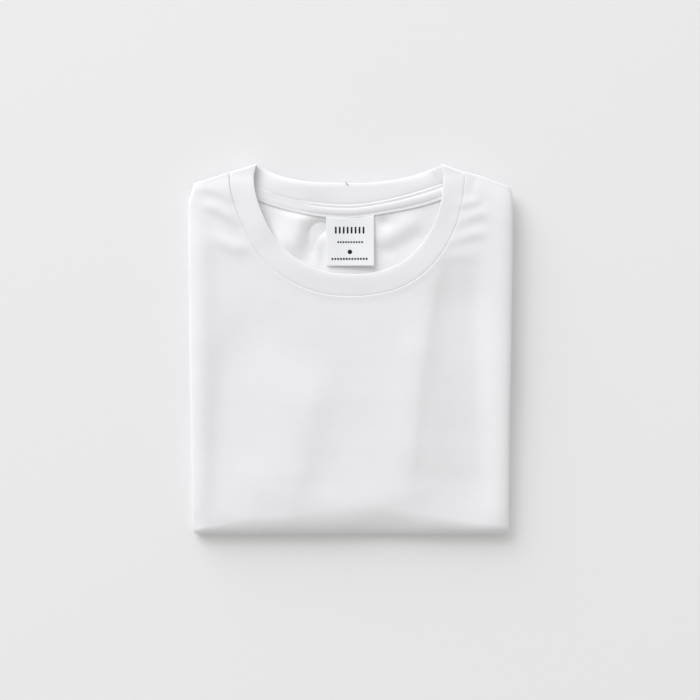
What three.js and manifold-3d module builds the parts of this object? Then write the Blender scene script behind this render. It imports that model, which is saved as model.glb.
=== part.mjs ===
import * as THREE from 'three';
import Module from 'manifold-3d';
import { mergeVertices } from 'three/addons/utils/BufferGeometryUtils.js';

// A small white crew-neck T-shirt, folded for a shelf and lying front side up. Its two sides are turned
// under, the sleeves are turned back on them, and the lower half is folded under up to the neck.
// Millimetres. +X is to the right of someone who faces the neck, +Y points to the neck, +Z is up, and
// z = 0 is the surface that the shirt lies on. A depth is measured down from the front's outer face.

// Driving sizes
const halfLength = 150.5; // middle of the packet to the collar's top, and to the bottom fold
const bodyWall = 1.2; // jersey of the front and the back, loose
const ribWall = 1.8; // doubled rib of the collar
const tapeWall = 1.0;
const labelWall = 1.0;
const seamGap = 0.3;

// The side folds and the bottom fold
const curlReach = 4.5; // how far in from the side a side fold starts to round over
const lipLength = 12; // what the front reaches in under each half
const underInset = 1.4; // how much narrower the lower half is, each side
const underReach = 6; // roundness of the bottom fold below its middle
const hemY = 124; // the lower half ends here, in the shirt's hem
const bendY = -138; // about where the bottom fold starts

// One row for each section across the packet: its reach to each side, its height in the middle and at the
// side folds, and the shares of that height at which the upper half ends and the lower half starts.
const sections = [
  { y: 150, left: 129.0, right: 128.5, crown: 16.0, edge: 14.8, upper: 0.544, lower: 0.354 },
  { y: 122, left: 131.7, right: 131.7, crown: 16.8, edge: 15.4, upper: 0.544, lower: 0.354 },
  { y: 52, left: 131.6, right: 131.1, crown: 17.2, edge: 15.8, upper: 0.544, lower: 0.354 },
  { y: -41, left: 130.9, right: 130.0, crown: 16.9, edge: 15.2, upper: 0.544, lower: 0.354 },
  { y: -64, left: 130.7, right: 129.7, crown: 16.7, edge: 14.4, upper: 0.520, lower: 0.445 },
  { y: -90, left: 130.4, right: 129.4, crown: 16.6, edge: 13.6, upper: 0.525, lower: 0.450 },
  { y: -123, left: 130.0, right: 129.2, crown: 16.6, edge: 12.2, upper: 0.550, lower: 0.445 },
  { y: -150, left: 128.4, right: 128.8, crown: 15.8, edge: 10.8, upper: 0.575, lower: 0.425 },
];
const crownPower = 2.6; // how squarely a section keeps its middle height towards the sides

// The packet's top edge: down the shoulder slopes to the corners
const shoulderLine = [
  { x: -131.7, y: 133.2 },
  { x: -119.0, y: 136.5 },
  { x: -98.7, y: 143.2 },
  { x: 93.8, y: 143.2 },
  { x: 104.4, y: 140.6 },
  { x: 128.0, y: 132.0 },
  { x: 131.7, y: 127.5 },
];

// How far the bottom fold rounds over, long in the middle and pinched at the corners
const foldReach = [
  { x: -131, reach: 4.0 },
  { x: -121, reach: 6.0 },
  { x: -90, reach: 12.0 },
  { x: -49, reach: 17.0 },
  { x: -18, reach: 17.0 },
  { x: 23, reach: 22.0 },
  { x: 62, reach: 18.0 },
  { x: 100, reach: 11.0 },
  { x: 122, reach: 6.0 },
  { x: 131, reach: 4.0 },
];

// The large soft folds, a row for each: the line it follows, its height (a trough's is negative), and
// how wide it spreads to the left and to the right of that line.
const softFolds = [
  { fromX: 95, fromY: 58, toX: 104, toY: -128, height: -2.0, spreadLeft: 32, spreadRight: 13 },
  { fromX: -32, fromY: -22, toX: -52, toY: -122, height: 1.2, spreadLeft: 34, spreadRight: 18 },
  { fromX: -86, fromY: 20, toX: -106, toY: -100, height: -0.9, spreadLeft: 15, spreadRight: 26 },
  { fromX: -124, fromY: 95, toX: -123, toY: -120, height: 0.7, spreadLeft: 8, spreadRight: 11 },
  { fromX: 60, fromY: 20, toX: 62, toY: -100, height: 0.6, spreadLeft: 26, spreadRight: 14 },
];
const foldFade = 26; // length over which a fold dies out at each end

// The neckline: left and right halves of a rounded curve around its own middle. The collar lies between
// the seam and the free edge.
const frontSeam = { middle: -2.45, halfWidth: 96.25, top: 143.0, drop: 100.2 };
const frontEdge = { middle: -1.6, halfWidth: 76.8, top: 141.0, drop: 80.4 };
const neckPower = { left: 2.05, right: 2.55 }; // how squarely each half of the neckline curves
const collarTop = { edgeLeft: -76.5, edgeRight: 73.5, y: 148.7 }; // where the collar's free edge turns over

// Curves across the back of the neck: lowest height, rise at the ends and the powers of the two sides
const backRim = { middle: 3, halfWidth: 78, low: 134.5, rise: 14.0, leftPower: 3.2, rightPower: 1.8 };
const backSeam = { middle: -2, halfWidth: 96, low: 115.8, rise: 25.2, leftPower: 2.0, rightPower: 1.6 };
const tapeWidth = 9.6;
const tapeEnd = 84; // the tape's reach to each side of the back seam's middle

// Depths of the pieces in the neck, from the front's outer face
const ribProud = 0.5; // the front of the collar stands this much above the front
const backInside = 2.9; // the inside of the back
const ribBackTop = 1.9;

// The label hangs from the tape
const label = { left: -19.5, right: 19.1, bottom: 67.2, liftRight: 1.3, liftBottom: 0.9 };

// The sleeves lie in the slit between the two halves
const sleeve = { inner: 5, outer: 124.2, top: 117, bottom: -16, cuffTaper: 6 };
const backEndY = 12; // below this line the back belongs to the hidden layers

// The hidden layers
const hiddenClear = 1.9; // depth at which they start inside the front
const lipStep = 1.5; // they step down past the front's lip over this width
const hemStep = 2; // the inner plies end this much further in at the hem

const jerseyWhite = { color: 0xf0f0f2, roughness: 0.92, metalness: 0 };
const ribWhite = { color: 0xf1f1f3, roughness: 0.9, metalness: 0 };
const satinWhite = { color: 0xf4f4f4, roughness: 0.55, metalness: 0 };
const innerWhite = { color: 0xe6e6e9, roughness: 0.95, metalness: 0 };

const { clamp, lerp, smoothstep } = THREE.MathUtils;

// Reads a column of a table at a place between its rows
function readTable(rows, placeColumn, place, column) {
  const direction = Math.sign(rows.at(-1)[placeColumn] - rows[0][placeColumn]);
  for (let i = 1; i < rows.length; i += 1) {
    const from = rows[i - 1];
    const to = rows[i];
    if ((place - to[placeColumn]) * direction <= 0 || i === rows.length - 1) {
      const share = clamp((place - from[placeColumn]) / (to[placeColumn] - from[placeColumn]), 0, 1);
      return lerp(from[column], to[column], share);
    }
  }
  return rows[0][column];
}

const sectionAt = (y, column) => readTable(sections, 'y', y, column);
const shoulderY = (x) => readTable(shoulderLine, 'x', x, 'y');
const bendReach = (x) => readTable(foldReach, 'x', x, 'reach');

// Height of one soft fold at a point
function foldHeight(fold, x, y) {
  const length = Math.hypot(fold.toX - fold.fromX, fold.toY - fold.fromY);
  const alongX = (fold.toX - fold.fromX) / length;
  const alongY = (fold.toY - fold.fromY) / length;
  const along = (x - fold.fromX) * alongX + (y - fold.fromY) * alongY;
  const aside = (y - fold.fromY) * alongX - (x - fold.fromX) * alongY;
  const spread = aside < 0 ? fold.spreadLeft : fold.spreadRight;
  const start = smoothstep(along, -foldFade, foldFade);
  const end = 1 - smoothstep(along, length - foldFade, length + foldFade);
  return fold.height * Math.exp(-((aside / spread) ** 2)) * start * end;
}

// Height of the packet with no folds, and the folds' own height
function plainHeight(x, y) {
  const half = x < 0 ? sectionAt(y, 'left') : sectionAt(y, 'right');
  const edge = sectionAt(y, 'edge');
  const share = Math.min(Math.abs(x) / half, 1);
  return edge + (sectionAt(y, 'crown') - edge) * (1 - share ** crownPower);
}

function foldsAt(x, y) {
  return softFolds.reduce((sum, fold) => sum + foldHeight(fold, x, y), 0);
}

const topHeight = (x, y) => plainHeight(x, y) + foldsAt(x, y);

// The way along the cloth: over the top, round the bottom fold and back along the underside. A station is
// a place on that way. Its "near" y picks the section that it belongs to.
function topStation(share) {
  return { run: 'top', share, near: lerp(shoulderLine[3].y - 8, bendY, share) };
}

function bendStation(angle) {
  return { run: 'bend', angle, near: -150 };
}

function underStation(share) {
  return { run: 'under', share, near: lerp(bendY, hemY, share) };
}

// y of a point on the top run, whose first and last rows follow the packet's own outline
function topRunY(x, share, startY) {
  const start = (startY - topStation(0).near) * (1 - smoothstep(share, 0, 0.25));
  const end = (bendReach(x) - halfLength - bendY) * smoothstep(share, 0.7, 1);
  return topStation(share).near + start + end;
}

// Places a point that lies at a depth under the outer face of a station
function placePoint(x, depth, station, startY, foldShare) {
  if (station.run === 'top') {
    const y = topRunY(x, station.share, startY);
    return new THREE.Vector3(x, y, plainHeight(x, y) + foldsAt(x, y) * foldShare - depth);
  }
  if (station.run === 'under') {
    return new THREE.Vector3(x, lerp(underReach - halfLength, hemY, station.share), depth);
  }
  const reach = station.angle < Math.PI / 2 ? bendReach(x) : underReach;
  const startOfBend = bendReach(x) - halfLength;
  const radius = (plainHeight(x, startOfBend) + foldsAt(x, startOfBend) * foldShare) / 2;
  const y = reach * (1 - Math.sin(station.angle)) + depth * Math.sin(station.angle) - halfLength;
  return new THREE.Vector3(x, y, radius + (radius - depth) * Math.cos(station.angle));
}

// Thickness of the half that a station belongs to, at its side folds, and its reach to one side
function halfThickness(station) {
  const edge = sectionAt(station.near, 'edge');
  const upper = edge * (1 - sectionAt(station.near, 'upper'));
  const lower = edge * sectionAt(station.near, 'lower');
  if (station.run === 'top') return upper;
  if (station.run === 'under') return lower;
  return lerp(upper, lower, station.angle / Math.PI);
}

function sideReach(side, station) {
  const reach = sectionAt(station.near, side < 0 ? 'left' : 'right');
  if (station.run === 'top') return reach;
  if (station.run === 'under') return reach - underInset * smoothstep(station.share, 0, 0.15);
  return reach;
}

// Columns across the front: its lip under one side, the side fold, the crown, and the same again
function frontColumns(crownSteps, curlSteps, lipSteps) {
  const columns = [];
  for (let i = lipSteps; i > 0; i -= 1) columns.push({ side: -1, lip: (lipLength * i) / lipSteps });
  for (let i = curlSteps; i > 0; i -= 1) columns.push({ side: -1, turn: (Math.PI * i) / curlSteps });
  for (let i = 0; i <= crownSteps; i += 1) columns.push({ crown: (2 * i) / crownSteps - 1 });
  for (let i = 1; i <= curlSteps; i += 1) columns.push({ side: 1, turn: (Math.PI * i) / curlSteps });
  for (let i = 1; i <= lipSteps; i += 1) columns.push({ side: 1, lip: (lipLength * i) / lipSteps });
  return columns;
}

// A column's place across and its depth, moved in from the cloth's outer face by an offset
function acrossFront(column, station, offset) {
  const side = column.crown === undefined ? column.side : Math.sign(column.crown);
  const curlDepth = halfThickness(station) / 2;
  const start = sideReach(side, station) - curlReach;
  if (column.crown !== undefined) return { x: start * column.crown, depth: offset, foldShare: 1 };
  if (column.lip !== undefined) {
    return { x: side * (start - column.lip), depth: 2 * curlDepth - offset, foldShare: 0 };
  }
  const outX = Math.sin(column.turn) / curlReach;
  const outUp = Math.cos(column.turn) / curlDepth;
  const scale = offset / Math.hypot(outX, outUp);
  const x = side * (start + curlReach * Math.sin(column.turn) - outX * scale);
  const depth = curlDepth * (1 - Math.cos(column.turn)) + outUp * scale;
  return { x, depth, foldShare: (1 + Math.cos(column.turn)) / 2 };
}

// A closed solid over a block of points: columns across, levels through it and rows along it
function blockSolid(columnCount, levelCount, rowCount, pointAt) {
  const positions = [];
  const quad = (a, b, c, d) => [a, b, c, a, c, d].forEach((p) => positions.push(p.x, p.y, p.z));
  const point = (i, k, j) => pointAt(i, k, j);
  for (let j = 0; j < rowCount; j += 1) {
    for (let i = 0; i < columnCount; i += 1) {
      quad(point(i, 0, j), point(i, 0, j + 1), point(i + 1, 0, j + 1), point(i + 1, 0, j));
      const k = levelCount;
      quad(point(i, k, j), point(i + 1, k, j), point(i + 1, k, j + 1), point(i, k, j + 1));
    }
    for (let k = 0; k < levelCount; k += 1) {
      quad(point(0, k, j), point(0, k + 1, j), point(0, k + 1, j + 1), point(0, k, j + 1));
      const i = columnCount;
      quad(point(i, k, j), point(i, k, j + 1), point(i, k + 1, j + 1), point(i, k + 1, j));
    }
  }
  for (let i = 0; i < columnCount; i += 1) {
    for (let k = 0; k < levelCount; k += 1) {
      quad(point(i, k, 0), point(i + 1, k, 0), point(i + 1, k + 1, 0), point(i, k + 1, 0));
      const j = rowCount;
      quad(point(i, k, j), point(i, k + 1, j), point(i + 1, k + 1, j), point(i + 1, k, j));
    }
  }
  return closedGeometry(positions);
}

function closedGeometry(positions) {
  const geometry = new THREE.BufferGeometry();
  geometry.setAttribute('position', new THREE.Float32BufferAttribute(positions, 3));
  return mergeVertices(geometry, 1e-4);
}

const wasm = await Module();
wasm.setup();

function toManifold(geometry) {
  const vertProperties = new Float32Array(geometry.attributes.position.array);
  const triVerts = new Uint32Array(geometry.index.array);
  return new wasm.Manifold(new wasm.Mesh({ numProp: 3, vertProperties, triVerts }));
}

function fromManifold(solid) {
  const { vertProperties, triVerts } = solid.getMesh();
  const geometry = new THREE.BufferGeometry();
  geometry.setAttribute('position', new THREE.BufferAttribute(vertProperties, 3));
  geometry.setIndex(new THREE.BufferAttribute(triVerts, 1));
  return geometry;
}

// Cuts away what lies inside an outline in plan, above the slit between the two halves
const pastTop = halfLength + 20; // where such an outline closes, clear of the shirt
function cutInPlan(geometry, outline) {
  const cutBase = 6;
  const cutter = new THREE.ExtrudeGeometry(new THREE.Shape(outline), { depth: 24, bevelEnabled: false });
  cutter.translate(0, 0, cutBase);
  cutter.deleteAttribute('normal');
  cutter.deleteAttribute('uv');
  return fromManifold(toManifold(geometry).subtract(toManifold(mergeVertices(cutter))));
}

// A point of the front neckline at an angle: 0 at the right end, a half turn at the left end
function necklinePoint(curve, angle, grow) {
  const side = Math.sign(Math.cos(angle));
  const power = side < 0 ? neckPower.left : neckPower.right;
  const across = side * Math.abs(Math.cos(angle)) ** (2 / power);
  const x = curve.middle + (curve.halfWidth + grow) * across;
  return new THREE.Vector2(x, curve.top - (curve.drop + grow) * Math.sin(angle));
}

// y of a curve across the back of the neck
function backCurveY(curve, x) {
  const share = Math.abs(x - curve.middle) / curve.halfWidth;
  return curve.low + curve.rise * share ** (x < curve.middle ? curve.leftPower : curve.rightPower);
}

// The shoulder seam: the front rolls over the top edge, and the back carries on from there
const shoulderRoll = (backInside + bodyWall) / 2;
const frontRollEnd = THREE.MathUtils.degToRad(82);
const backRollStart = THREE.MathUtils.degToRad(100);

function rollPoint(angle, offset, x) {
  const radius = shoulderRoll - offset;
  const y = shoulderY(x) - shoulderRoll + radius * Math.sin(angle);
  return { depth: shoulderRoll - radius * Math.cos(angle), y };
}

function frontBody() {
  const columns = frontColumns(24, 6, 2);
  const rollRows = 3;
  const topRows = 24;
  const bendRows = 8;
  const underRows = 6;
  const stations = [];
  for (let i = rollRows; i > 0; i -= 1) {
    stations.push({ ...topStation(0), roll: (frontRollEnd * i) / rollRows });
  }
  for (let i = 0; i <= topRows; i += 1) stations.push(topStation(i / topRows));
  for (let i = 1; i < bendRows; i += 1) stations.push(bendStation((Math.PI * i) / bendRows));
  for (let i = 0; i <= underRows; i += 1) stations.push(underStation(i / underRows));
  const solid = blockSolid(columns.length - 1, 1, stations.length - 1, (i, k, j) => {
    const station = stations[j];
    const plain = acrossFront(columns[i], station, k * bodyWall);
    const roll = rollPoint(station.roll ?? 0, k * bodyWall, plain.x);
    const at = station.roll ? acrossFront(columns[i], station, roll.depth) : plain;
    return placePoint(at.x, at.depth, station, roll.y, at.foldShare);
  });
  const outline = [];
  const steps = 44;
  for (let i = 0; i <= steps; i += 1) outline.push(necklinePoint(frontSeam, (Math.PI * i) / steps, seamGap));
  outline.push(new THREE.Vector2(outline.at(-1).x, pastTop));
  outline.push(new THREE.Vector2(outline[0].x, pastTop));
  return cutInPlan(solid, outline);
}

function backBody() {
  const columnCount = 22;
  const rollRows = 3;
  const flatRows = 9;
  const half = sections[1].left - curlReach - 1.6;
  const solid = blockSolid(columnCount, 1, rollRows + flatRows, (i, k, j) => {
    const x = half * ((2 * i) / columnCount - 1);
    const turn = lerp(backRollStart, Math.PI, Math.min(j / rollRows, 1));
    const roll = rollPoint(turn, (1 - k) * bodyWall, x);
    const y = lerp(roll.y, backEndY, Math.max(j - rollRows, 0) / flatRows);
    return new THREE.Vector3(x, y, topHeight(x, y) - roll.depth);
  });
  const outline = [];
  const steps = 36;
  const left = frontSeam.middle - frontSeam.halfWidth - seamGap;
  const right = frontSeam.middle + frontSeam.halfWidth + seamGap;
  for (let i = 0; i <= steps; i += 1) {
    const x = lerp(left, right, i / steps);
    outline.push(new THREE.Vector2(x, backCurveY(backSeam, x) - 2 * seamGap));
  }
  outline.push(new THREE.Vector2(right, pastTop));
  outline.push(new THREE.Vector2(left, pastTop));
  return cutInPlan(solid, outline);
}

// The collar is one doubled band in a ring: down and up the front, over the shoulder, across the back
const ribRoll = (ribBackTop + ribWall + ribProud) / 2;

function ribStations() {
  const frontSteps = 40;
  const turnSteps = 6;
  const backSteps = 26;
  const stations = [];
  const seamLeft = necklinePoint(frontSeam, Math.PI, 0);
  const seamRight = necklinePoint(frontSeam, 0, 0);
  const seamY = shoulderY(seamLeft.x) - ribRoll;
  const foldAt = (seamX, edgeX) => ({
    seam: new THREE.Vector2(seamX, seamY),
    edge: new THREE.Vector2(edgeX, collarTop.y),
  });
  const leftFold = foldAt(seamLeft.x, collarTop.edgeLeft);
  const rightFold = foldAt(seamRight.x, collarTop.edgeRight);
  for (let i = 1; i < frontSteps; i += 1) {
    const angle = Math.PI * (1 - i / frontSteps);
    const seam = necklinePoint(frontSeam, angle, 0);
    stations.push({ seam, edge: necklinePoint(frontEdge, angle, 0), turn: 0 });
  }
  for (let i = 0; i <= turnSteps; i += 1) stations.push({ ...rightFold, turn: (Math.PI * i) / turnSteps });
  for (let i = 1; i < backSteps; i += 1) {
    const seamX = lerp(seamRight.x, seamLeft.x, i / backSteps);
    const edgeX = lerp(collarTop.edgeRight, collarTop.edgeLeft, i / backSteps);
    const seam = new THREE.Vector2(seamX, backCurveY(backSeam, seamX));
    stations.push({ seam, edge: new THREE.Vector2(edgeX, backCurveY(backRim, edgeX)), turn: Math.PI });
  }
  for (let i = turnSteps; i >= 0; i -= 1) stations.push({ ...leftFold, turn: (Math.PI * i) / turnSteps });
  return stations;
}

// Points around the collar's section: along the band from 0 at the seam to 1 at the free edge, and out
function ribSection() {
  const steps = 4;
  const section = [];
  for (let i = 0; i <= steps; i += 1) section.push({ along: i / steps, out: 1 });
  section.push({ along: 1, past: 0.9, out: 0 });
  for (let i = steps; i >= 0; i -= 1) section.push({ along: i / steps, out: -1 });
  return section;
}

function neckRib() {
  const stations = ribStations();
  const section = ribSection();
  const middleDepth = ribRoll - ribProud;
  const rollMiddle = ribRoll - ribWall / 2;
  const inset = ribWall / 2;
  const rings = stations.map((station) => section.map((mark) => {
    const band = station.edge.clone().sub(station.seam);
    const width = band.length();
    const place = (mark.along * (width - inset) + (mark.past ?? 0) * inset) / width;
    const x = station.seam.x + band.x * place;
    const out = rollMiddle + (mark.out * ribWall) / 2;
    const y = station.seam.y + band.y * place + out * Math.sin(station.turn);
    return new THREE.Vector3(x, y, topHeight(x, y) - middleDepth + out * Math.cos(station.turn));
  }));
  const positions = [];
  rings.forEach((ring, j) => {
    const next = rings[(j + 1) % rings.length];
    ring.forEach((from, i) => {
      const to = (i + 1) % ring.length;
      [from, next[to], ring[to], from, next[i], next[to]].forEach((p) => positions.push(p.x, p.y, p.z));
    });
  });
  return closedGeometry(positions);
}

function neckTape() {
  const columnCount = 32;
  return blockSolid(columnCount, 1, 2, (i, k, j) => {
    const x = backSeam.middle + tapeEnd * ((2 * i) / columnCount - 1);
    const y = backCurveY(backSeam, x) - 2 * seamGap - (tapeWidth * j) / 2;
    return new THREE.Vector3(x, y, topHeight(x, y) - backInside + seamGap + (1 - k) * tapeWall);
  });
}

function wovenLabel() {
  const columnCount = 8;
  const rowCount = 9;
  return blockSolid(columnCount, 1, rowCount, (i, k, j) => {
    const across = i / columnCount;
    const down = j / rowCount;
    const x = lerp(label.left, label.right, across);
    const top = backCurveY(backSeam, x) - tapeWidth - 3.5 * seamGap;
    const y = lerp(top, label.bottom, down);
    const lift = label.liftRight * across ** 2 * down + label.liftBottom * down ** 2;
    return new THREE.Vector3(x, y, topHeight(x, y) - backInside + seamGap + lift + (1 - k) * labelWall);
  });
}

// How deep the edge of a stack of plies sinks in between them, at a share of the stack's depth
const plyGroove = (plies, share) => 0.9 * Math.abs(Math.cos(Math.PI * plies * share));

// Room inside the front's side fold at a depth: how far out from the fold's start
function roomInFold(depth, station) {
  const middle = halfThickness(station) / 2;
  const rounding = Math.min(Math.abs(depth - middle) / (middle - hiddenClear), 1);
  return (curlReach - hiddenClear) * Math.sqrt(1 - rounding ** 2);
}

// Depths of the hidden layers: just under the front, or under the back where that is a piece of its own,
// down to the slit between the two halves
function hiddenTop(x, station) {
  if (station.run !== 'top') return hiddenClear;
  const y = topRunY(x, station.share, hiddenEnd(x));
  return lerp(hiddenClear, backInside + hiddenClear, smoothstep(y, backEndY - 34, backEndY - 16));
}

function hiddenBottom(x, station) {
  const upper = sectionAt(station.near, 'upper');
  if (station.run === 'under') {
    return (halfThickness(station) * plainHeight(x, station.near)) / sectionAt(station.near, 'edge');
  }
  if (station.run === 'bend') return plainHeight(x, bendReach(x) - halfLength) * (1 - upper);
  return plainHeight(x, topRunY(x, station.share, hiddenEnd(x))) * (1 - upper);
}

// The hidden layers' end at the neck, behind the shoulders and under the back of the collar
const hiddenEnd = (x) => Math.min(shoulderY(x) - 7, backCurveY(backRim, x) - 4);

// The hidden layers of both halves, in one solid that is joined round the bottom fold
function foldedLayers() {
  const plies = 4;
  const levels = 2 * plies;
  const topRows = 18;
  const bendRows = 8;
  const underRows = 6;
  const middleColumns = 14;
  const stations = [];
  for (let i = 0; i <= topRows; i += 1) stations.push(topStation(i / topRows));
  for (let i = 1; i < bendRows; i += 1) stations.push(bendStation((Math.PI * i) / bendRows));
  for (let i = 0; i <= underRows; i += 1) stations.push(underStation(i / underRows));
  const columns = [{ side: -1, share: 0 }, { side: -1, share: 1 }];
  for (let i = 0; i <= middleColumns; i += 1) columns.push({ middle: (2 * i) / middleColumns - 1 });
  columns.push({ side: 1, share: 1 }, { side: 1, share: 0 });
  return blockSolid(columns.length - 1, levels, stations.length - 1, (i, k, j) => {
    const station = stations[j];
    const column = columns[i];
    const level = k / levels;
    const side = column.side ?? Math.sign(column.middle);
    const foldStart = sideReach(side, station) - curlReach;
    const lipX = foldStart - lipLength - seamGap;
    const groove = plyGroove(plies, level);
    let x = column.middle * (lipX - lipStep);
    let depth = lerp(hiddenTop(x, station), hiddenBottom(x, station), level);
    if (column.side) {
      const bottom = halfThickness(station) - hiddenClear;
      depth = lerp(hiddenTop(side * foldStart, station), bottom, level);
      x = side * lerp(foldStart + roomInFold(depth, station) - groove, lipX, column.share);
    }
    const point = placePoint(x, depth, station, hiddenEnd(x) - groove, 1 - level);
    if (station.run === 'under' && station.share === 1) point.y -= groove + hemStep * level;
    return point;
  });
}

function foldedSleeve(side) {
  const plies = 2;
  const levels = 2 * plies;
  const columnCount = 10;
  const rowCount = 10;
  return blockSolid(columnCount, levels, rowCount, (i, k, j) => {
    const level = k / levels;
    const groove = plyGroove(plies, level) * 0.7;
    const across = i / columnCount;
    const taper = (sleeve.cuffTaper * (side < 0 ? 1 - across : across)) / 2;
    const inner = side < 0 ? -sleeve.outer + groove : sleeve.inner + groove;
    const outer = side < 0 ? -sleeve.inner - groove : sleeve.outer - groove;
    const x = lerp(inner, outer, across);
    const y = lerp(sleeve.top - taper - groove, sleeve.bottom + taper + groove, j / rowCount);
    const low = plainHeight(x, y) * sections[1].lower + seamGap;
    const high = plainHeight(x, y) * sections[1].upper - seamGap;
    return new THREE.Vector3(x, y, lerp(high, low, level));
  });
}

function addPiece(group, name, geometry, finish) {
  geometry.computeVertexNormals();
  const mesh = new THREE.Mesh(geometry, new THREE.MeshStandardMaterial(finish));
  mesh.name = name;
  group.add(mesh);
}

const shirt = new THREE.Group();
addPiece(shirt, 'front_body', frontBody(), jerseyWhite);
addPiece(shirt, 'back_body', backBody(), innerWhite);
addPiece(shirt, 'sleeve_left', foldedSleeve(-1), jerseyWhite);
addPiece(shirt, 'sleeve_right', foldedSleeve(1), jerseyWhite);
addPiece(shirt, 'neck_rib', neckRib(), ribWhite);
addPiece(shirt, 'neck_tape', neckTape(), jerseyWhite);
addPiece(shirt, 'size_label', wovenLabel(), satinWhite);
addPiece(shirt, 'folded_layers', foldedLayers(), innerWhite);

export default shirt;
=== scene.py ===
import math

import bpy
import numpy as np
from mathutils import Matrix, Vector
from mathutils.geometry import delaunay_2d_cdt


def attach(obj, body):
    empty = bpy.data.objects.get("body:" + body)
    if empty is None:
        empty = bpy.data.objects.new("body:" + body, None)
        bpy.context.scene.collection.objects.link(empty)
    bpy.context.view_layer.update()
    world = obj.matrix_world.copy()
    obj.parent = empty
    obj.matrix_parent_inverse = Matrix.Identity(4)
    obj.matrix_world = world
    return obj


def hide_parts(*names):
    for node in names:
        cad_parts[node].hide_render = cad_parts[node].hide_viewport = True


# A small white crew-neck T-shirt, folded for a shelf. Shapes are worked out in millimetres and become
# metres when a mesh is made. +X is right, +Y points to the collar, z = 0 is what the shirt lies on.
# A depth is measured down from the outer face of the front.
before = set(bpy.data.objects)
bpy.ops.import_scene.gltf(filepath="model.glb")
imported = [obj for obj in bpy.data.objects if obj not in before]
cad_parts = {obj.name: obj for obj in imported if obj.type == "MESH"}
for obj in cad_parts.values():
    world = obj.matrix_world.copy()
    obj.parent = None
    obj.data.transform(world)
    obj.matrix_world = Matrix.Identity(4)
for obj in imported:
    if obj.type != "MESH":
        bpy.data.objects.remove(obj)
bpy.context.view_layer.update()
metresPerMm = 0.001
randomPhases = np.random.default_rng(7)
print("frame loaded:", ", ".join(sorted(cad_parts)))


def table(columns, *rows):
    # rows of values under named columns
    return [dict(zip(columns.split(), row)) for row in rows]


# Camera, floor and light

studio = {
    "mmPerPixel": 0.8125,
    "imagePixels": 700,
    "centreX": -0.4,  # mm, where the camera looks down
    "centreY": -0.8,
    "focusHeight": 10,  # mm, the height at which a pixel has its size
    "lens": 85,
    "sensor": 36,
    "floorSize": 2.4,  # metres
    "floorColour": "F3F3F4",
    "floorCloud": "F4F4F5",
    "cloudsPerMetre": 1.6,
    "skyColour": "FFFFFB",
    "skyStrength": 0.61,
    "skySlant": 0.4,  # share by which the sky is brighter past the collar and darker past the bottom fold
    "lampPower": 542,  # watts
    "lampSize": 6.5,  # metres
    "lampPlace": (-3.916, 6.030, 3.507),
    "lampColour": "F9F9FF",
}


def linearColour(hexColour):
    values = [int(hexColour[i:i + 2], 16) / 255 for i in (0, 2, 4)]
    return tuple(v / 12.92 if v <= 0.04045 else ((v + 0.055) / 1.055) ** 2.4 for v in values) + (1.0,)


def addNode(tree, kind, settings=None, links=None):
    # settings are inputs by name or number, or the node's own values; a linked node gives its first output
    node = tree.nodes.new(kind)
    for name, value in (settings or {}).items():
        if isinstance(name, int) or name in node.inputs:
            node.inputs[name].default_value = value
        else:
            setattr(node, name, value)
    for name, source in (links or {}).items():
        output = source.outputs[0] if isinstance(source, bpy.types.Node) else source
        tree.links.new(output, node.inputs[name])
    return node


def newMaterial(name):
    material = bpy.data.materials.new(name)
    material.use_nodes = True
    material.node_tree.nodes.clear()
    return material, material.node_tree


def paintedFloor():
    # matt emulsion paint on a studio table: no gloss, and a cloudy variation too weak to notice
    material, tree = newMaterial("matt studio paint")
    place = addNode(tree, "ShaderNodeTexCoord").outputs["Object"]
    clouds = {"Scale": studio["cloudsPerMetre"], "Detail": 3.0}
    cloud = addNode(tree, "ShaderNodeTexNoise", clouds, {"Vector": place}).outputs["Fac"]
    ramp = addNode(tree, "ShaderNodeValToRGB", links={"Fac": cloud})
    ramp.color_ramp.elements[0].color = linearColour(studio["floorCloud"])
    ramp.color_ramp.elements[1].color = linearColour(studio["floorColour"])
    shader = addNode(tree, "ShaderNodeBsdfPrincipled", {"Roughness": 0.95, "IOR": 1.45}, {"Base Color": ramp})
    addNode(tree, "ShaderNodeOutputMaterial", links={"Surface": shader})
    return material


def addCamera():
    camera = bpy.data.objects.new("camera", bpy.data.cameras.new("camera"))
    camera.data.lens = studio["lens"]
    camera.data.sensor_width = studio["sensor"]
    span = studio["mmPerPixel"] * studio["imagePixels"] * metresPerMm
    height = span * studio["lens"] / studio["sensor"] + studio["focusHeight"] * metresPerMm
    camera.location = (studio["centreX"] * metresPerMm, studio["centreY"] * metresPerMm, height)
    bpy.context.collection.objects.link(camera)
    bpy.context.scene.camera = camera


def addFloor():
    half = studio["floorSize"] / 2
    floorMesh = bpy.data.meshes.new("floor")
    corners = [(-half, -half, 0), (half, -half, 0), (half, half, 0), (-half, half, 0)]
    floorMesh.from_pydata(corners, [], [(0, 1, 2, 3)])
    floor = bpy.data.objects.new("floor", floorMesh)
    floorMesh.materials.append(paintedFloor())
    bpy.context.collection.objects.link(floor)


def addLamp():
    # a wide soft box beyond the left shoulder, turned to the shirt
    lampData = bpy.data.lights.new("soft box", "AREA")
    lampData.shape = "SQUARE"
    lampData.size = studio["lampSize"]
    lampData.energy = studio["lampPower"]
    lampData.color = linearColour(studio["lampColour"])[:3]
    lamp = bpy.data.objects.new("soft box", lampData)
    lamp.location = studio["lampPlace"]
    x, y, z = studio["lampPlace"]
    lamp.rotation_euler = (0, math.atan2(math.hypot(x, y), z), math.atan2(y, x))
    bpy.context.collection.objects.link(lamp)


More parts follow.
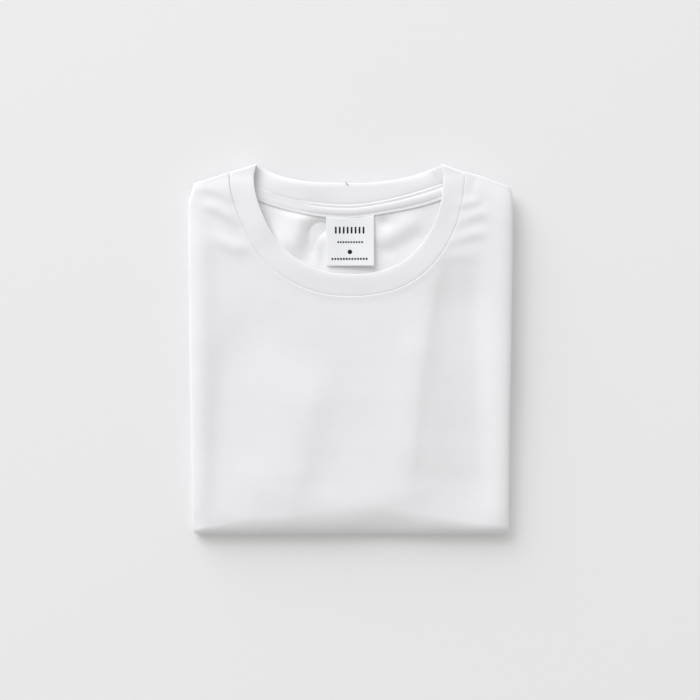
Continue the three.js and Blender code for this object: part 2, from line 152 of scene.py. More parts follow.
def addSky():
    # the room is brighter behind the collar's end than at the bottom fold's
    world = bpy.data.worlds.new("studio")
    world.use_nodes = True
    tree = world.node_tree
    background = tree.nodes["Background"]
    background.inputs["Color"].default_value = linearColour(studio["skyColour"])
    towards = addNode(tree, "ShaderNodeTexCoord").outputs["Generated"]
    north = addNode(tree, "ShaderNodeSeparateXYZ", links={"Vector": towards}).outputs["Y"]
    level = studio["skyStrength"]
    settings = {"operation": "MULTIPLY_ADD", 1: level * studio["skySlant"], 2: level}
    strength = addNode(tree, "ShaderNodeMath", settings, {0: north})
    tree.links.new(strength.outputs[0], background.inputs["Strength"])
    bpy.context.scene.world = world


addCamera()
addFloor()
addLamp()
addSky()
bpy.context.scene.view_settings.view_transform = "Standard"
bpy.context.scene.view_settings.look = "None"
print("studio built")


# The packet's own form, the same as the solids' but smooth between the rows

packet = {
    "halfLength": 150.5,
    "wall": 0.7,  # the visible cloth
    "curlReach": 4.5,  # how far in from the side a side fold starts to round over
    "curlSquareness": 3.0,  # 2 is a round fold, more is a sharper one
    "sideFall": 1.3,  # the cloth sinks a little towards the sides
    "sideFallReach": 11,
    "lipLength": 12,  # the cloth ends this far in under a side fold
    "underInset": 1.4,  # the underside is narrower at each side, from this share of its length on
    "underInsetShare": 0.15,
    "underReach": 6,  # how far in the bottom fold ends on the underside
    "hemY": 124,
    "bendY": -138,  # where the section of the bottom fold starts, and how far on it ends
    "bendSpan": 12,
    "crownPower": 2.6,  # more makes a flatter top
    "shoulderEndY": 131,  # where the side folds meet the shoulders
    "roughHalf": 127,  # half a width, near enough to choose a row's cross-sections by
    "shoulderRoll": 2.05,
    "rollSquareness": 3.6,
    "shoulderFall": 0.8,  # the cloth bends down softly towards the shoulders, over this spread
    "shoulderSpread": 6.5,
    "neckRoll": 0.7,  # the front's edge turns under at the collar with this radius
    "backInside": 2.9,  # depth of the back's inside
    "clothToBend": 2.6,  # cloth taken up before the bottom fold, for each radian of it and in all of it
    "clothPerTurn": 8.5,
    "clothToUnder": 26,
}
sections = table(
    "y left right crown edge upper lower",
    (150, 122.5, 127.5, 16.0, 14.8, 0.544, 0.354),
    (133, 127.6, 130.6, 16.5, 15.1, 0.544, 0.354),
    (122, 130.9, 131.6, 16.8, 15.4, 0.544, 0.354),
    (110, 131.4, 131.7, 16.9, 15.5, 0.544, 0.354),
    (52, 131.1, 131.0, 17.2, 15.8, 0.544, 0.354),
    (-41, 129.9, 129.6, 16.9, 15.2, 0.544, 0.354),
    (-64, 129.5, 129.2, 16.7, 14.4, 0.520, 0.445),
    (-90, 129.2, 129.0, 16.6, 13.6, 0.525, 0.450),
    (-123, 128.8, 129.0, 16.6, 12.2, 0.550, 0.445),
    (-150, 127.8, 128.8, 15.8, 10.8, 0.575, 0.425),
)
shoulderLine = table(
    "x y",
    (-131.7, 133.2),
    (-119.0, 136.5),
    (-98.7, 143.2),
    (93.8, 143.2),
    (104.4, 140.6),
    (128.0, 132.0),
    (131.7, 127.5),
)
# how far in the bottom fold starts to bend, and how high its outermost line lies, as a share of the height
foldReach = table(
    "x reach low",
    (-131, 4.0, 0.45),
    (-112, 8.0, 0.44),
    (-90, 13.0, 0.42),
    (-49, 17.5, 0.33),
    (-18, 20.5, 0.33),
    (23, 26.0, 0.26),
    (57, 19.5, 0.33),
    (81, 15.0, 0.38),
    (105, 10.0, 0.45),
    (122, 8.5, 0.45),
    (131, 6.0, 0.45),
)
neckline = {
    "seam": dict(middle=-2.95, halfWidth=95.6, top=143.0, drop=100.2, lean=2.4),
    "edge": dict(middle=-1.6, halfWidth=76.8, top=141.0, drop=80.4, lean=1.2),
    "leftPower": 2.05,
    "rightPower": 2.55,
    "leanPlace": 0.42,  # share of the way down the left half at which it leans in most
    "leanSpread": 0.2,
    "foldLeft": -76.5,  # x and y at which the collar's free edge turns over
    "foldRight": 73.5,
    "foldY": 148.7,
}
neckAngles = np.linspace(math.pi, 0, 600)  # round the front neckline from left to right
# the collar across the back: its free edge and its seam, each rising from the middle to both sides
backRim, backSeam = table(
    "middle halfWidth low leftRise rightRise leftPower rightPower",
    (3, 78, 134.5, 14.0, 18.3, 3.2, 2.2),
    (-2, 96, 115.8, 25.2, 25.2, 2.0, 1.6),
)
pressedFlat = (-46, -20)  # x from which the tape and the rib above it are less and less flat

# Soft folds and creases of the front: a line from one point to another, bowed sideways at its middle. A
# trough has a negative height. Left and right are the spreads to the two sides of the line, and it fades
# out over a length at each end.
frontFolds = table(
    "fromX fromY toX toY bow height left right fade",
    (95, 58, 104, -128, 0, -3.79, 34, 16, 26),
    (71, 74, 48, -104, -3, 1.29, 17, 8, 22),
    (126, 118, 124, -150, 0, 1.61, 16, 9, 16),
    (-112, -136, -74, -135, 0, 0.36, 5, 12, 12),
    (14, -144, 56, -145, 0, -0.83, 8, 8, 12),
    (-48, -128, 60, -116, -3, 0.59, 10, 12, 14),
    (-32, -22, -52, -122, 3, 2.12, 34, 18, 26),
    (-86, 20, -106, -100, -6, -1.57, 15, 26, 30),
    (-120, 100, -119, -125, 0, 1.44, 9, 9, 24),
    (60, 20, 62, -100, 0, 0.97, 26, 14, 26),
    (-136, -150, -124, -151, 0, -1.6, 8, 13, 5),
    (-130, 131, -96, 122, 3, 1.17, 5, 11, 8),
    (-118, 117, -93, 103, 2, 1.41, 5, 6, 9),
    (-110, 91, -84, 81, -2, 1.15, 6, 6, 10),
    (90, 116.5, 103, 119.5, 0, 1.07, 3.4, 5, 6),
    (100.5, 139, 100, 131, 0, -0.5, 2.2, 2.6, 4),
    (88, 101, 110, 110, 2, 1.1, 5, 6, 8),
    (82, 86, 108, 94, 2, 1.03, 5, 6, 8),
    (76, 73, 100, 76, 2, 0.48, 6, 6, 8),
)


def smoothColumn(rows, place, column, at):
    # one column of a table as a curve through its rows with no kinks
    rows = sorted(rows, key=lambda row: row[place])
    xs = np.array([row[place] for row in rows], float)
    ys = np.array([row[column] for row in rows], float)
    slopes = np.gradient(ys, xs)
    at = np.asarray(at, float)
    i = np.clip(np.searchsorted(xs, at) - 1, 0, len(xs) - 2)
    width = xs[i + 1] - xs[i]
    t = np.clip((at - xs[i]) / width, 0, 1)
    start = (1 + 2 * t) * (1 - t) ** 2 * ys[i] + t * (1 - t) ** 2 * width * slopes[i]
    return start + t * t * (3 - 2 * t) * ys[i + 1] + t * t * (t - 1) * width * slopes[i + 1]


def smoothStep(value, low, high):
    t = np.clip((np.asarray(value, float) - low) / (high - low), 0, 1)
    return t * t * (3 - 2 * t)


def sectionAt(y, column):
    return smoothColumn(sections, "y", column, y)


def shoulderY(x):
    xs = [row["x"] for row in shoulderLine]
    return np.interp(x, xs, [row["y"] for row in shoulderLine])


def bendReach(x):
    return smoothColumn(foldReach, "x", "reach", x)


def plainHeight(x, y):
    half = np.where(x < 0, sectionAt(y, "left"), sectionAt(y, "right"))
    edge = sectionAt(y, "edge")
    share = np.minimum(np.abs(x) / half, 1)
    return edge + (sectionAt(y, "crown") - edge) * (1 - share ** packet["crownPower"])


def foldHeights(folds, x, y):
    # how much all the folds of a table together lift or lower a place
    total = np.zeros(np.broadcast(x, y).shape)
    for fold in folds:
        length = math.hypot(fold["toX"] - fold["fromX"], fold["toY"] - fold["fromY"])
        alongX = (fold["toX"] - fold["fromX"]) / length
        alongY = (fold["toY"] - fold["fromY"]) / length
        along = (x - fold["fromX"]) * alongX + (y - fold["fromY"]) * alongY
        aside = (y - fold["fromY"]) * alongX - (x - fold["fromX"]) * alongY
        share = np.clip(along / length, 0, 1)
        aside = aside - fold["bow"] * 4 * share * (1 - share)
        spread = np.where(aside < 0, fold["left"], fold["right"])
        fade = fold["fade"]
        ends = smoothStep(along, -fade, fade) * (1 - smoothStep(along, length - fade, length + fade))
        total = total + fold["height"] * np.exp(-((aside / spread) ** 2)) * ends
    return total


def makeUndulation(kind):
    # a sum of long weak waves, so that no stretch of cloth is perfectly even
    waves = []
    for _ in range(kind["count"]):
        angle = randomPhases.uniform(0, math.pi)
        length = randomPhases.uniform(kind["shortest"], kind["longest"])
        phase = randomPhases.uniform(0, 2 * math.pi)
        waves.append((math.cos(angle) / length, math.sin(angle) / length, phase))
    return waves


def undulation(waves, x, y, height):
    total = np.zeros(np.broadcast(x, y).shape)
    for alongX, alongY, phase in waves:
        total = total + np.sin(2 * math.pi * (x * alongX + y * alongY) + phase)
    return height * total / math.sqrt(len(waves))


unevenness = {  # count of waves, their shortest and longest length and their height, in millimetres
    "long": dict(count=9, shortest=22, longest=70, height=0.07),
    "short": dict(count=10, shortest=9, longest=20, height=0.018),
}
longWaves = makeUndulation(unevenness["long"])
shortWaves = makeUndulation(unevenness["short"])
# what lies inside the neck sinks beside the collar's left half
insideFolds = table(
    "fromX fromY toX toY bow height left right fade",
    (-84, 152, -68, 92, 0, -3.43, 12, 26, 14),
)


def crossed(along, across):
    # every value along with every value across, as places on the cloth
    return np.stack(np.meshgrid(along, across, indexing="ij"), axis=-1)


def squared(value, squareness):
    # nearer to 1 for longer, which gives a round section squarer corners
    return np.sign(value) * np.abs(value) ** (2 / squareness)


def squareSin(angle, squareness):
    return squared(np.sin(angle), squareness)


def squareCos(angle, squareness):
    return squared(np.cos(angle), squareness)


def shoulderDrop(x, y):
    beyond = np.minimum(y - shoulderY(x), 0) / packet["shoulderSpread"]
    return -packet["shoulderFall"] * np.exp(-(beyond ** 2))


def sideDrop(x, y):
    half = np.where(x < 0, sectionAt(y, "left"), sectionAt(y, "right"))
    reach = packet["sideFallReach"]
    return -packet["sideFall"] * np.clip((np.abs(x) - half + reach) / reach, 0, 1) ** 2


def frontRelief(x, y):
    waves = undulation(longWaves, x, y, unevenness["long"]["height"])
    waves = waves + undulation(shortWaves, x, y, unevenness["short"]["height"])
    return foldHeights(frontFolds, x, y) + shoulderDrop(x, y) + sideDrop(x, y) + waves


def topHeight(x, y):
    return plainHeight(x, y) + foldHeights(frontFolds, x, y) + shoulderDrop(x, y)


def necklinePoints(curve, angles):
    side = np.sign(np.cos(angles))
    power = np.where(side < 0, neckline["leftPower"], neckline["rightPower"])
    across = side * np.abs(np.cos(angles)) ** (2 / power)
    down = np.sin(angles)
    lean = np.exp(-(((down - neckline["leanPlace"]) / neckline["leanSpread"]) ** 2)) * (side < 0)
    x = curve["middle"] + curve["halfWidth"] * across + curve["lean"] * lean
    return np.stack([x, curve["top"] - curve["drop"] * down], axis=-1)


def backCurveY(curve, x):
    share = np.abs(x - curve["middle"]) / curve["halfWidth"]
    isLeft = x < curve["middle"]
    rise = np.where(isLeft, curve["leftRise"], curve["rightRise"])
    power = np.where(isLeft, curve["leftPower"], curve["rightPower"])
    return curve["low"] + rise * share ** power


def flatLeft(x):
    return 1 - smoothStep(x, *pressedFlat)


def runningLength(points, shortest=0.0):
    steps = np.maximum(np.linalg.norm(np.diff(points, axis=0), axis=1), shortest)
    return np.concatenate([[0], np.cumsum(steps)])


def evenPoints(points, count):
    # the same line with evenly spaced points
    along = runningLength(points)
    at = np.linspace(0, along[-1], count)
    return np.stack([np.interp(at, along, points[:, k]) for k in range(points.shape[1])], axis=-1)


# Meshes

def makeObject(name, points, faces, uv, material):
    mesh = bpy.data.meshes.new(name)
    mesh.from_pydata((points * metresPerMm).tolist(), [], faces)
    mesh.validate()
    mesh.polygons.foreach_set("use_smooth", [True] * len(mesh.polygons))
    layer = mesh.uv_layers.new(name="cloth mm")
    loops = np.empty(len(mesh.loops), dtype=np.int32)
    mesh.loops.foreach_get("vertex_index", loops)
    layer.data.foreach_set("uv", uv[loops].astype(np.float32).ravel())
    mesh.materials.append(material)
    piece = bpy.data.objects.new(name, mesh)
    bpy.context.collection.objects.link(piece)
    return piece


def gridFaces(index, flip=False):
    a, b, c, d = index[:-1, :-1], index[1:, :-1], index[1:, 1:], index[:-1, 1:]
    order = (a, d, c, b) if flip else (a, b, c, d)
    return np.stack([part.ravel() for part in order], axis=-1)


def clothShell(name, outer, inner, faces, uv, material):
    # the outer and inner faces of one cloth, with a rounded edge wherever the cloth ends
    count = len(outer)
    groups = [np.array([f for f in faces if len(f) == size], dtype=int).reshape(-1, size) for size in (3, 4)]
    edges = np.concatenate([np.stack([q.ravel(), np.roll(q, -1, axis=1).ravel()], axis=-1) for q in groups])
    keys = edges[:, 0] * count + edges[:, 1]
    ends = edges[~np.isin(keys, edges[:, 1] * count + edges[:, 0])]
    middle = (outer + inner) / 2
    away = np.zeros((count, 3))
    for q in groups:
        centres = middle[q].mean(axis=1) if len(q) else np.zeros((0, 3))
        for k in range(q.shape[1]):
            np.add.at(away, q[:, k], middle[q[:, k]] - centres)
    rim = np.unique(ends)
    through = outer[rim] - inner[rim]
    wall = np.linalg.norm(through, axis=1, keepdims=True)
    through = through / wall
    outward = away[rim] - through * (away[rim] * through).sum(axis=1, keepdims=True)
    outward /= np.maximum(np.linalg.norm(outward, axis=1, keepdims=True), 1e-9)
    rimPoints = middle[rim] + outward * wall * 0.4
    rimIndex = np.full(count, -1)
    rimIndex[rim] = 2 * count + np.arange(len(rim))
    first, second = ends[:, 0], ends[:, 1]
    upper = np.stack([second, first, rimIndex[first], rimIndex[second]], axis=-1)
    lower = np.stack([rimIndex[second], rimIndex[first], first + count, second + count], axis=-1)
    allFaces = [list(f) for q in groups for f in q.tolist()]
    allFaces += [[i + count for i in reversed(f)] for f in allFaces]
    allFaces += upper.tolist() + lower.tolist()
    points = np.concatenate([outer, inner, rimPoints])
    return makeObject(name, points, allFaces, np.concatenate([uv, uv, uv[rim]]), material)


def gridShell(name, outer, inner, uv, material):
    # the same from rows that run down and columns that run to the right, seen from outside
    index = np.arange(outer.shape[0] * outer.shape[1]).reshape(outer.shape[:2])
    faces = gridFaces(index).tolist()
    return clothShell(name, outer.reshape(-1, 3), inner.reshape(-1, 3), faces, uv.reshape(-1, 2), material)


def sweptBand(name, rings, uv, material, closed):
    # rings of points, joined into a tube that closes on itself or has capped ends
    count, size = rings.shape[:2]
    index = np.arange(count * size).reshape(count, size)
    wrapped = np.concatenate([index, index[:, :1]], axis=1)
    if closed:
        wrapped = np.concatenate([wrapped, wrapped[:1]], axis=0)
    faces = gridFaces(wrapped).tolist()
    if not closed:
        faces += [index[0].tolist(), index[-1][::-1].tolist()]
    return makeObject(name, rings.reshape(-1, 3), faces, uv.reshape(-1, 2), material)


# Materials

cottonFacts = {
    "ior": 1.5,
    "specular": 0.25,
    "sheenRoughness": 0.5,
    "cloudsPerMetre": 38.0,  # a slight unevenness of the white
    "cloudShare": 0.975,
    "fluffPerMetre": 900.0,  # fibre ends, drawn coarser than the real fluff, which is too fine to show
    "fluffStrength": 0.5,
}
jerseyFacts = {
    "colour": "F3F3F6",
    "roughness": 0.9,
    "sheen": 0.25,
    "wale": 1.15,  # mm from column to column. Real 30-gauge jersey has 0.8, which is too fine to show here.
    "course": 0.85,  # mm from row to row
    "slant": 0.5,  # rows by which the arms of a V rise
    "depthShare": 0.3,  # of a stitch, the rest is the column's own height
    "stitchHeight": 0.00007,  # metres, as for the nap
    "nap": 0.00005,
}
ribFacts = {
    "colour": "F3F3F6",
    "roughness": 0.9,
    "sheen": 0.25,
    "rib": 1.5,  # mm from rib to rib
    "ribShare": 0.4,
    "course": 0.8,
    "courseShare": 0.1,
    "stitchHeight": 0.00005,
    "nap": 0.00005,
}
# thread is millimetres from thread to thread, and twist from turn to turn of the sewing thread
tapeFacts, labelFacts, inkFacts = table(
    "colour roughness sheen thread stitchHeight nap",
    ("F5F5F8", 0.9, 0.2, 0.9, 0.0001, 0.00004),
    ("F4F5F7", 0.5, 0.05, 0.45, 0.00004, 0.00001),
    ("1B1B1E", 0.6, 0.0, 0.4, 0.00003, 0.00001),
)
threadFacts = {"roughness": 0.75, "sheen": 0.1, "twist": 0.5, "stitchHeight": 0.00005, "nap": 0.00002}
mathNode = "ShaderNodeMath"


def clothShader(tree, facts, height, normalStrength=0.5):
    # cotton: no gloss, a faint sheen from the fibre ends, and a slight unevenness of the white
    place = addNode(tree, "ShaderNodeTexCoord").outputs["Object"]
    clouds = {"Scale": cottonFacts["cloudsPerMetre"], "Detail": 4.0}
    cloud = addNode(tree, "ShaderNodeTexNoise", clouds, {"Vector": place}).outputs["Fac"]
    tint = addNode(tree, "ShaderNodeValToRGB", links={"Fac": cloud})
    base = linearColour(facts["colour"])
    greyer, plain = tint.color_ramp.elements
    greyer.position = 0.3
    greyer.color = tuple(v * cottonFacts["cloudShare"] for v in base[:3]) + (1.0,)
    plain.position = 0.7
    plain.color = base
    fluff = {"Scale": cottonFacts["fluffPerMetre"], "Detail": 5.0, "Roughness": 0.7}
    fibres = addNode(tree, "ShaderNodeTexNoise", fluff, {"Vector": place}).outputs["Fac"]
    napSettings = {"Strength": cottonFacts["fluffStrength"], "Distance": facts["nap"]}
    nap = addNode(tree, "ShaderNodeBump", napSettings, {"Height": fibres})
    bumpSettings = {"Strength": normalStrength, "Distance": facts["stitchHeight"]}
    bump = addNode(tree, "ShaderNodeBump", bumpSettings, {"Height": height, "Normal": nap})
    surface = {
        "Roughness": facts["roughness"],
        "IOR": cottonFacts["ior"],
        "Specular IOR Level": cottonFacts["specular"],
        "Sheen Weight": facts["sheen"],
        "Sheen Roughness": cottonFacts["sheenRoughness"],
    }
    shader = addNode(tree, "ShaderNodeBsdfPrincipled", surface, {"Base Color": tint, "Normal": bump})
    addNode(tree, "ShaderNodeOutputMaterial", links={"Surface": shader})


def clothPlace(tree):
    # the place on the cloth itself, in millimetres across and along its knit
    onCloth = addNode(tree, "ShaderNodeUVMap", {"uv_map": "cloth mm"})
    split = addNode(tree, "ShaderNodeSeparateXYZ", links={"Vector": onCloth})
    return split.outputs["X"], split.outputs["Y"]


def ridges(tree, place, pitch):
    # even ridges and hollows, one of each in a pitch
    turns = addNode(tree, mathNode, {"operation": "MULTIPLY", 1: 2 * math.pi / pitch}, {0: place})
    return addNode(tree, mathNode, {"operation": "SINE"}, {0: turns})


def jerseyMaterial():
    # cotton single jersey, 180 g/m2, combed and bleached: columns of small V stitches on its right side
    material, tree = newMaterial("cotton single jersey")
    facts = jerseyFacts
    across, along = clothPlace(tree)
    columns = addNode(tree, mathNode, {"operation": "DIVIDE", 1: facts["wale"]}, {0: across})
    column = addNode(tree, mathNode, {"operation": "FRACT"}, {0: columns})
    offMiddle = addNode(tree, mathNode, {"operation": "SUBTRACT", 1: 0.5}, {0: column})
    aside = addNode(tree, mathNode, {"operation": "ABSOLUTE"}, {0: offMiddle})
    fromMiddle = addNode(tree, mathNode, {"operation": "MULTIPLY", 1: 2.0}, {0: aside})
    rows = addNode(tree, mathNode, {"operation": "DIVIDE", 1: facts["course"]}, {0: along})
    slant = addNode(tree, mathNode, {"operation": "MULTIPLY", 1: facts["slant"]}, {0: fromMiddle})
    chevron = addNode(tree, mathNode, {"operation": "SUBTRACT"}, {0: rows, 1: slant})
    rounded = addNode(tree, mathNode, {"operation": "MULTIPLY"}, {0: fromMiddle, 1: fromMiddle})
    crown = addNode(tree, mathNode, {"operation": "SUBTRACT", 0: 1.0}, {1: rounded})
    shares = {"operation": "MULTIPLY_ADD", 1: facts["depthShare"], 2: 1 - facts["depthShare"]}
    loops = addNode(tree, mathNode, shares, {0: ridges(tree, chevron, 1)})
    stitch = addNode(tree, mathNode, {"operation": "MULTIPLY"}, {0: loops, 1: crown})
    clothShader(tree, facts, stitch)
    return material


def ribMaterial():
    # 1x1 rib knit with elastane, folded double: narrow ribs that cross the band
    material, tree = newMaterial("cotton 1x1 rib")
    across, along = clothPlace(tree)
    courses = ridges(tree, along, ribFacts["course"])
    low = addNode(tree, mathNode, {"operation": "MULTIPLY", 1: ribFacts["courseShare"]}, {0: courses})
    ribs = {0: ridges(tree, across, ribFacts["rib"]), 2: low}
    height = addNode(tree, mathNode, {"operation": "MULTIPLY_ADD", 1: ribFacts["ribShare"]}, ribs)
    clothShader(tree, ribFacts, height)
    return material


def tapeMaterial():
    # bias-cut cotton tape in a fine plain weave
    material, tree = newMaterial("cotton neck tape")
    across, along = clothPlace(tree)
    warpPlace = addNode(tree, mathNode, {"operation": "ADD"}, {0: across, 1: along})
    weftPlace = addNode(tree, mathNode, {"operation": "SUBTRACT"}, {0: across, 1: along})
    warp = ridges(tree, warpPlace, tapeFacts["thread"])
    weft = ridges(tree, weftPlace, tapeFacts["thread"])
    clothShader(tree, tapeFacts, addNode(tree, mathNode, {"operation": "MULTIPLY"}, {0: warp, 1: weft}))
    return material


def labelMaterial():
    # polyester satin ribbon: long floats along its length give it a soft gleam
    material, tree = newMaterial("satin label ribbon")
    across, _ = clothPlace(tree)
    clothShader(tree, labelFacts, ridges(tree, across, labelFacts["thread"]), 0.3)
    return material


def threadMaterial(name, colour):
    # spun polyester sewing thread with a twist, a little whiter than the cotton; the loose end's grey is
    # painted shade on the same white thread
    material, tree = newMaterial(name)
    across, along = clothPlace(tree)
    twist = addNode(tree, mathNode, {"operation": "ADD"}, {0: across, 1: along})
    clothShader(tree, threadFacts | {"colour": colour}, ridges(tree, twist, threadFacts["twist"]), 0.4)
    return material


def inkMaterial():
    # black weft brought to the face of the ribbon
    material, tree = newMaterial("black woven weft")
    _, along = clothPlace(tree)
    clothShader(tree, inkFacts, ridges(tree, along, inkFacts["thread"]), 0.3)
    return material


jersey = jerseyMaterial()
rib = ribMaterial()
tape = tapeMaterial()
ribbon = labelMaterial()
thread = threadMaterial("polyester sewing thread", "FBFBFD")
# painted shade: the loose thread end gets a grey colour that stands in for the shade around it
threadEndPaintedShade = threadMaterial("loose thread end painted shade", "CDD0CF")
ink = inkMaterial()
print("materials made")


# Front

frontDetail = {
    "lipSteps": 4,
    "curlSteps": 14,
    "shoulderColumns": 18,
    "neckColumns": 230,
    "lowerColumns": 150,
    "rollRows": 5,
    "upperRows": 62,
    "lowerRows": 92,
    "bendRows": 34,
    "underRows": 26,
    "split": 0.41,  # share of the way down at which the columns start to run straight through
    "pitch": 1.75,  # mm between points beside the neck, and the field that they fill
    "fieldX": (-130, 130),
    "fieldY": (20, 145),
    "seamRows": (0.35, 0.75, 1.25, 1.9, 2.7, 3.7, 5.0),  # mm from the collar
    "denseRows": 4,  # of these have every point
    "seamRise": 0.4,  # the seam allowance lifts the front beside the collar, less so at its left
    "seamRiseLeft": 0.35,
    "seamRiseOver": (-90, -20),
    "seamSpread": 3.8,
    "rollTurn": math.radians(87),
    "neckTurn": math.radians(82),
}


def rowY(x, share):
    # the rows of the top run go from the shoulders down to the bottom fold
    start = shoulderY(x) - packet["shoulderRoll"]
    end = bendReach(x) - packet["halfLength"]
    return start * (1 - share) + end * share


def nearAt(run, place):
    # the place along the packet that decides its cross-section
    if run == "bend":
        return packet["bendY"] - packet["bendSpan"] * math.sin(place)
    return packet["bendY"] + (packet["hemY"] - packet["bendY"]) * place


def halfThickness(run, near, turn):
    edge = sectionAt(near, "edge")
    upper = edge * (1 - sectionAt(near, "upper"))
    lower = edge * sectionAt(near, "lower")
    if run == "top":
        return upper
    if run == "under":
        return lower
    return upper + (lower - upper) * turn / math.pi


def crownRoom(side, near, share=0):
    # how far the flat middle goes to one side before the side fold starts
    reach = sectionAt(near, "left" if side < 0 else "right")
    inset = packet["underInset"] * smoothStep(share, 0, packet["underInsetShare"])
    return reach - inset - packet["curlReach"]


def placeOnRun(run, x, y, depth, turn, relief):
    # y is used on the two flat runs, turn on the bottom fold
    if run == "top":
        return np.stack([x, y, plainHeight(x, y) + relief - depth], axis=-1)
    if run == "under":
        return np.stack([x, y, depth + 0 * x], axis=-1)
    height = plainHeight(x, bendReach(x) - packet["halfLength"])
    nose = height * smoothColumn(foldReach, "x", "low", x)
    upper = turn < math.pi / 2
    reach = bendReach(x) if upper else np.full_like(x, packet["underReach"])
    radius = height - nose + relief if upper else nose
    y = reach * (1 - math.sin(turn)) + depth * math.sin(turn) - packet["halfLength"]
    return np.stack([x, y, nose + (radius - depth) * math.cos(turn)], axis=-1)


def underY(share):
    # from the bottom fold's inner end to the hem
    start = packet["underReach"] - packet["halfLength"]
    return start + (packet["hemY"] - start) * share


def clothBelow(run, y, turn):
    # how far along the cloth a point of the bottom fold or the underside lies
    used = packet["clothToBend"] + packet["clothPerTurn"] * turn + packet["clothToUnder"] * (run == "under")
    return -packet["halfLength"] - used - (y - underY(0))


def bendLine(x, turn):
    # where the outer face of the bottom fold lies in plan
    return bendReach(x) * (1 - math.sin(min(turn, math.pi / 2))) - packet["halfLength"]


def softened(values):
    # a short running mean
    window = 5
    padded = np.pad(values, window // 2, mode="edge")
    return np.convolve(padded, np.ones(window) / window, mode="valid")


def unitRows(vectors):
    return vectors / np.linalg.norm(vectors, axis=1, keepdims=True)


def frontEdgeLine():
    # the front's upper edge in plan, from the left shoulder along the neckline to the right shoulder,
    # with the direction in which it faces, the radius at which it turns under and how far it turns
    detail = frontDetail
    neck = evenPoints(necklinePoints(neckline["seam"], neckAngles), detail["neckColumns"] + 1)
    endY = packet["shoulderEndY"]
    leftX = np.linspace(-crownRoom(-1, endY), neck[0, 0], detail["shoulderColumns"] + 1)[:-1]
    rightX = np.linspace(neck[-1, 0], crownRoom(1, endY), detail["shoulderColumns"] + 1)[1:]
    left, right = (np.stack([x, shoulderY(x)], axis=-1) for x in (leftX, rightX))
    line = np.concatenate([left, neck, right])
    tangent = np.gradient(neck, axis=0)
    neckNormal = unitRows(np.stack([-tangent[:, 1], tangent[:, 0]], axis=-1))
    upwards = np.tile([0.0, 1.0], (detail["shoulderColumns"], 1))
    normal = np.concatenate([upwards, neckNormal, upwards])
    normal = unitRows(np.stack([softened(normal[:, k]) for k in (0, 1)], axis=-1))
    onNeck = softened(np.concatenate([upwards[:, 0], np.ones(len(neck)), upwards[:, 0]]))
    radius = packet["shoulderRoll"] + (packet["neckRoll"] - packet["shoulderRoll"]) * onNeck
    turn = detail["rollTurn"] + (detail["neckTurn"] - detail["rollTurn"]) * onNeck
    return line, normal, radius, turn


def seamDistance(x, y):
    seam = necklinePoints(neckline["seam"], np.linspace(0, math.pi, 300))
    nearest = np.full(np.shape(x), 1e9)
    for seamX, seamY in seam:
        nearest = np.minimum(nearest, (x - seamX) ** 2 + (y - seamY) ** 2)
    return np.sqrt(nearest)


def frontTopRelief(x, y):
    least = frontDetail["seamRiseLeft"]
    side = least + (1 - least) * smoothStep(x, *frontDetail["seamRiseOver"])
    rise = frontDetail["seamRise"] * side * np.exp(-((seamDistance(x, y) / frontDetail["seamSpread"]) ** 2))
    return frontRelief(x, y) + rise


def sideNodes(side, run, near, share, turn, offset):
    # the side fold and the lip under it, from the flat middle outwards
    detail = frontDetail
    curlReach = packet["curlReach"]
    curlDepth = float(halfThickness(run, near, turn)) / 2
    start = float(crownRoom(side, near, share))
    angles = np.linspace(0, math.pi, detail["curlSteps"] + 1)[1:]
    square = packet["curlSquareness"]
    away = squareSin(angles, square)
    up = squareCos(angles, square)
    outX = away ** (square - 1) / curlReach
    outUp = np.sign(up) * np.abs(up) ** (square - 1) / curlDepth
    scale = offset / np.hypot(outX, outUp)
    x = start + curlReach * away - outX * scale
    depth = curlDepth * (1 - up) + outUp * scale
    lips = np.linspace(0, packet["lipLength"], detail["lipSteps"] + 1)[1:]
    x = np.concatenate([x, start - lips])
    depth = np.concatenate([depth, np.full(len(lips), 2 * curlDepth - offset)])
    reliefShare = np.concatenate([(1 + up) / 2, np.zeros(len(lips))])
    curlRadius = (curlReach + curlDepth) / 2
    arc = np.concatenate([angles * curlRadius, math.pi * curlRadius + lips])
    return side * x, depth, reliefShare, side * (start + arc)


def sideColumn(side, run, place, offset, rollShare=0.0):
    # one row of a side fold, with where each point lies on the cloth
    if run == "top":
        edgeX = side * float(crownRoom(side, packet["shoulderEndY"]))
        near = float(rowY(edgeX, place))
        x, depth, reliefShare, u = sideNodes(side, run, near, 0, 0, offset)
        y = rowY(x, place)
        v = y.copy()
        if rollShare > 0:
            roll = packet["shoulderRoll"]
            angle = frontDetail["rollTurn"] * rollShare
            depth = depth + (roll - offset) * (1 - squareCos(angle, packet["rollSquareness"]))
            y = y + (roll - offset) * squareSin(angle, packet["rollSquareness"])
            v = v + roll * angle
        relief = frontRelief(x, rowY(x, place)) * reliefShare
        return placeOnRun(run, x, y, depth, 0, relief), np.stack([u, v], axis=-1)
    turn = place if run == "bend" else 0.0
    share = place if run == "under" else 0.0
    x, depth, reliefShare, u = sideNodes(side, run, nearAt(run, place), share, turn, offset)
    y = np.full_like(x, underY(share))
    relief = frontRelief(x, bendLine(x, turn)) * reliefShare if run == "bend" else 0
    return placeOnRun(run, x, y, depth, turn, relief), np.stack([u, clothBelow(run, y, turn)], axis=-1)


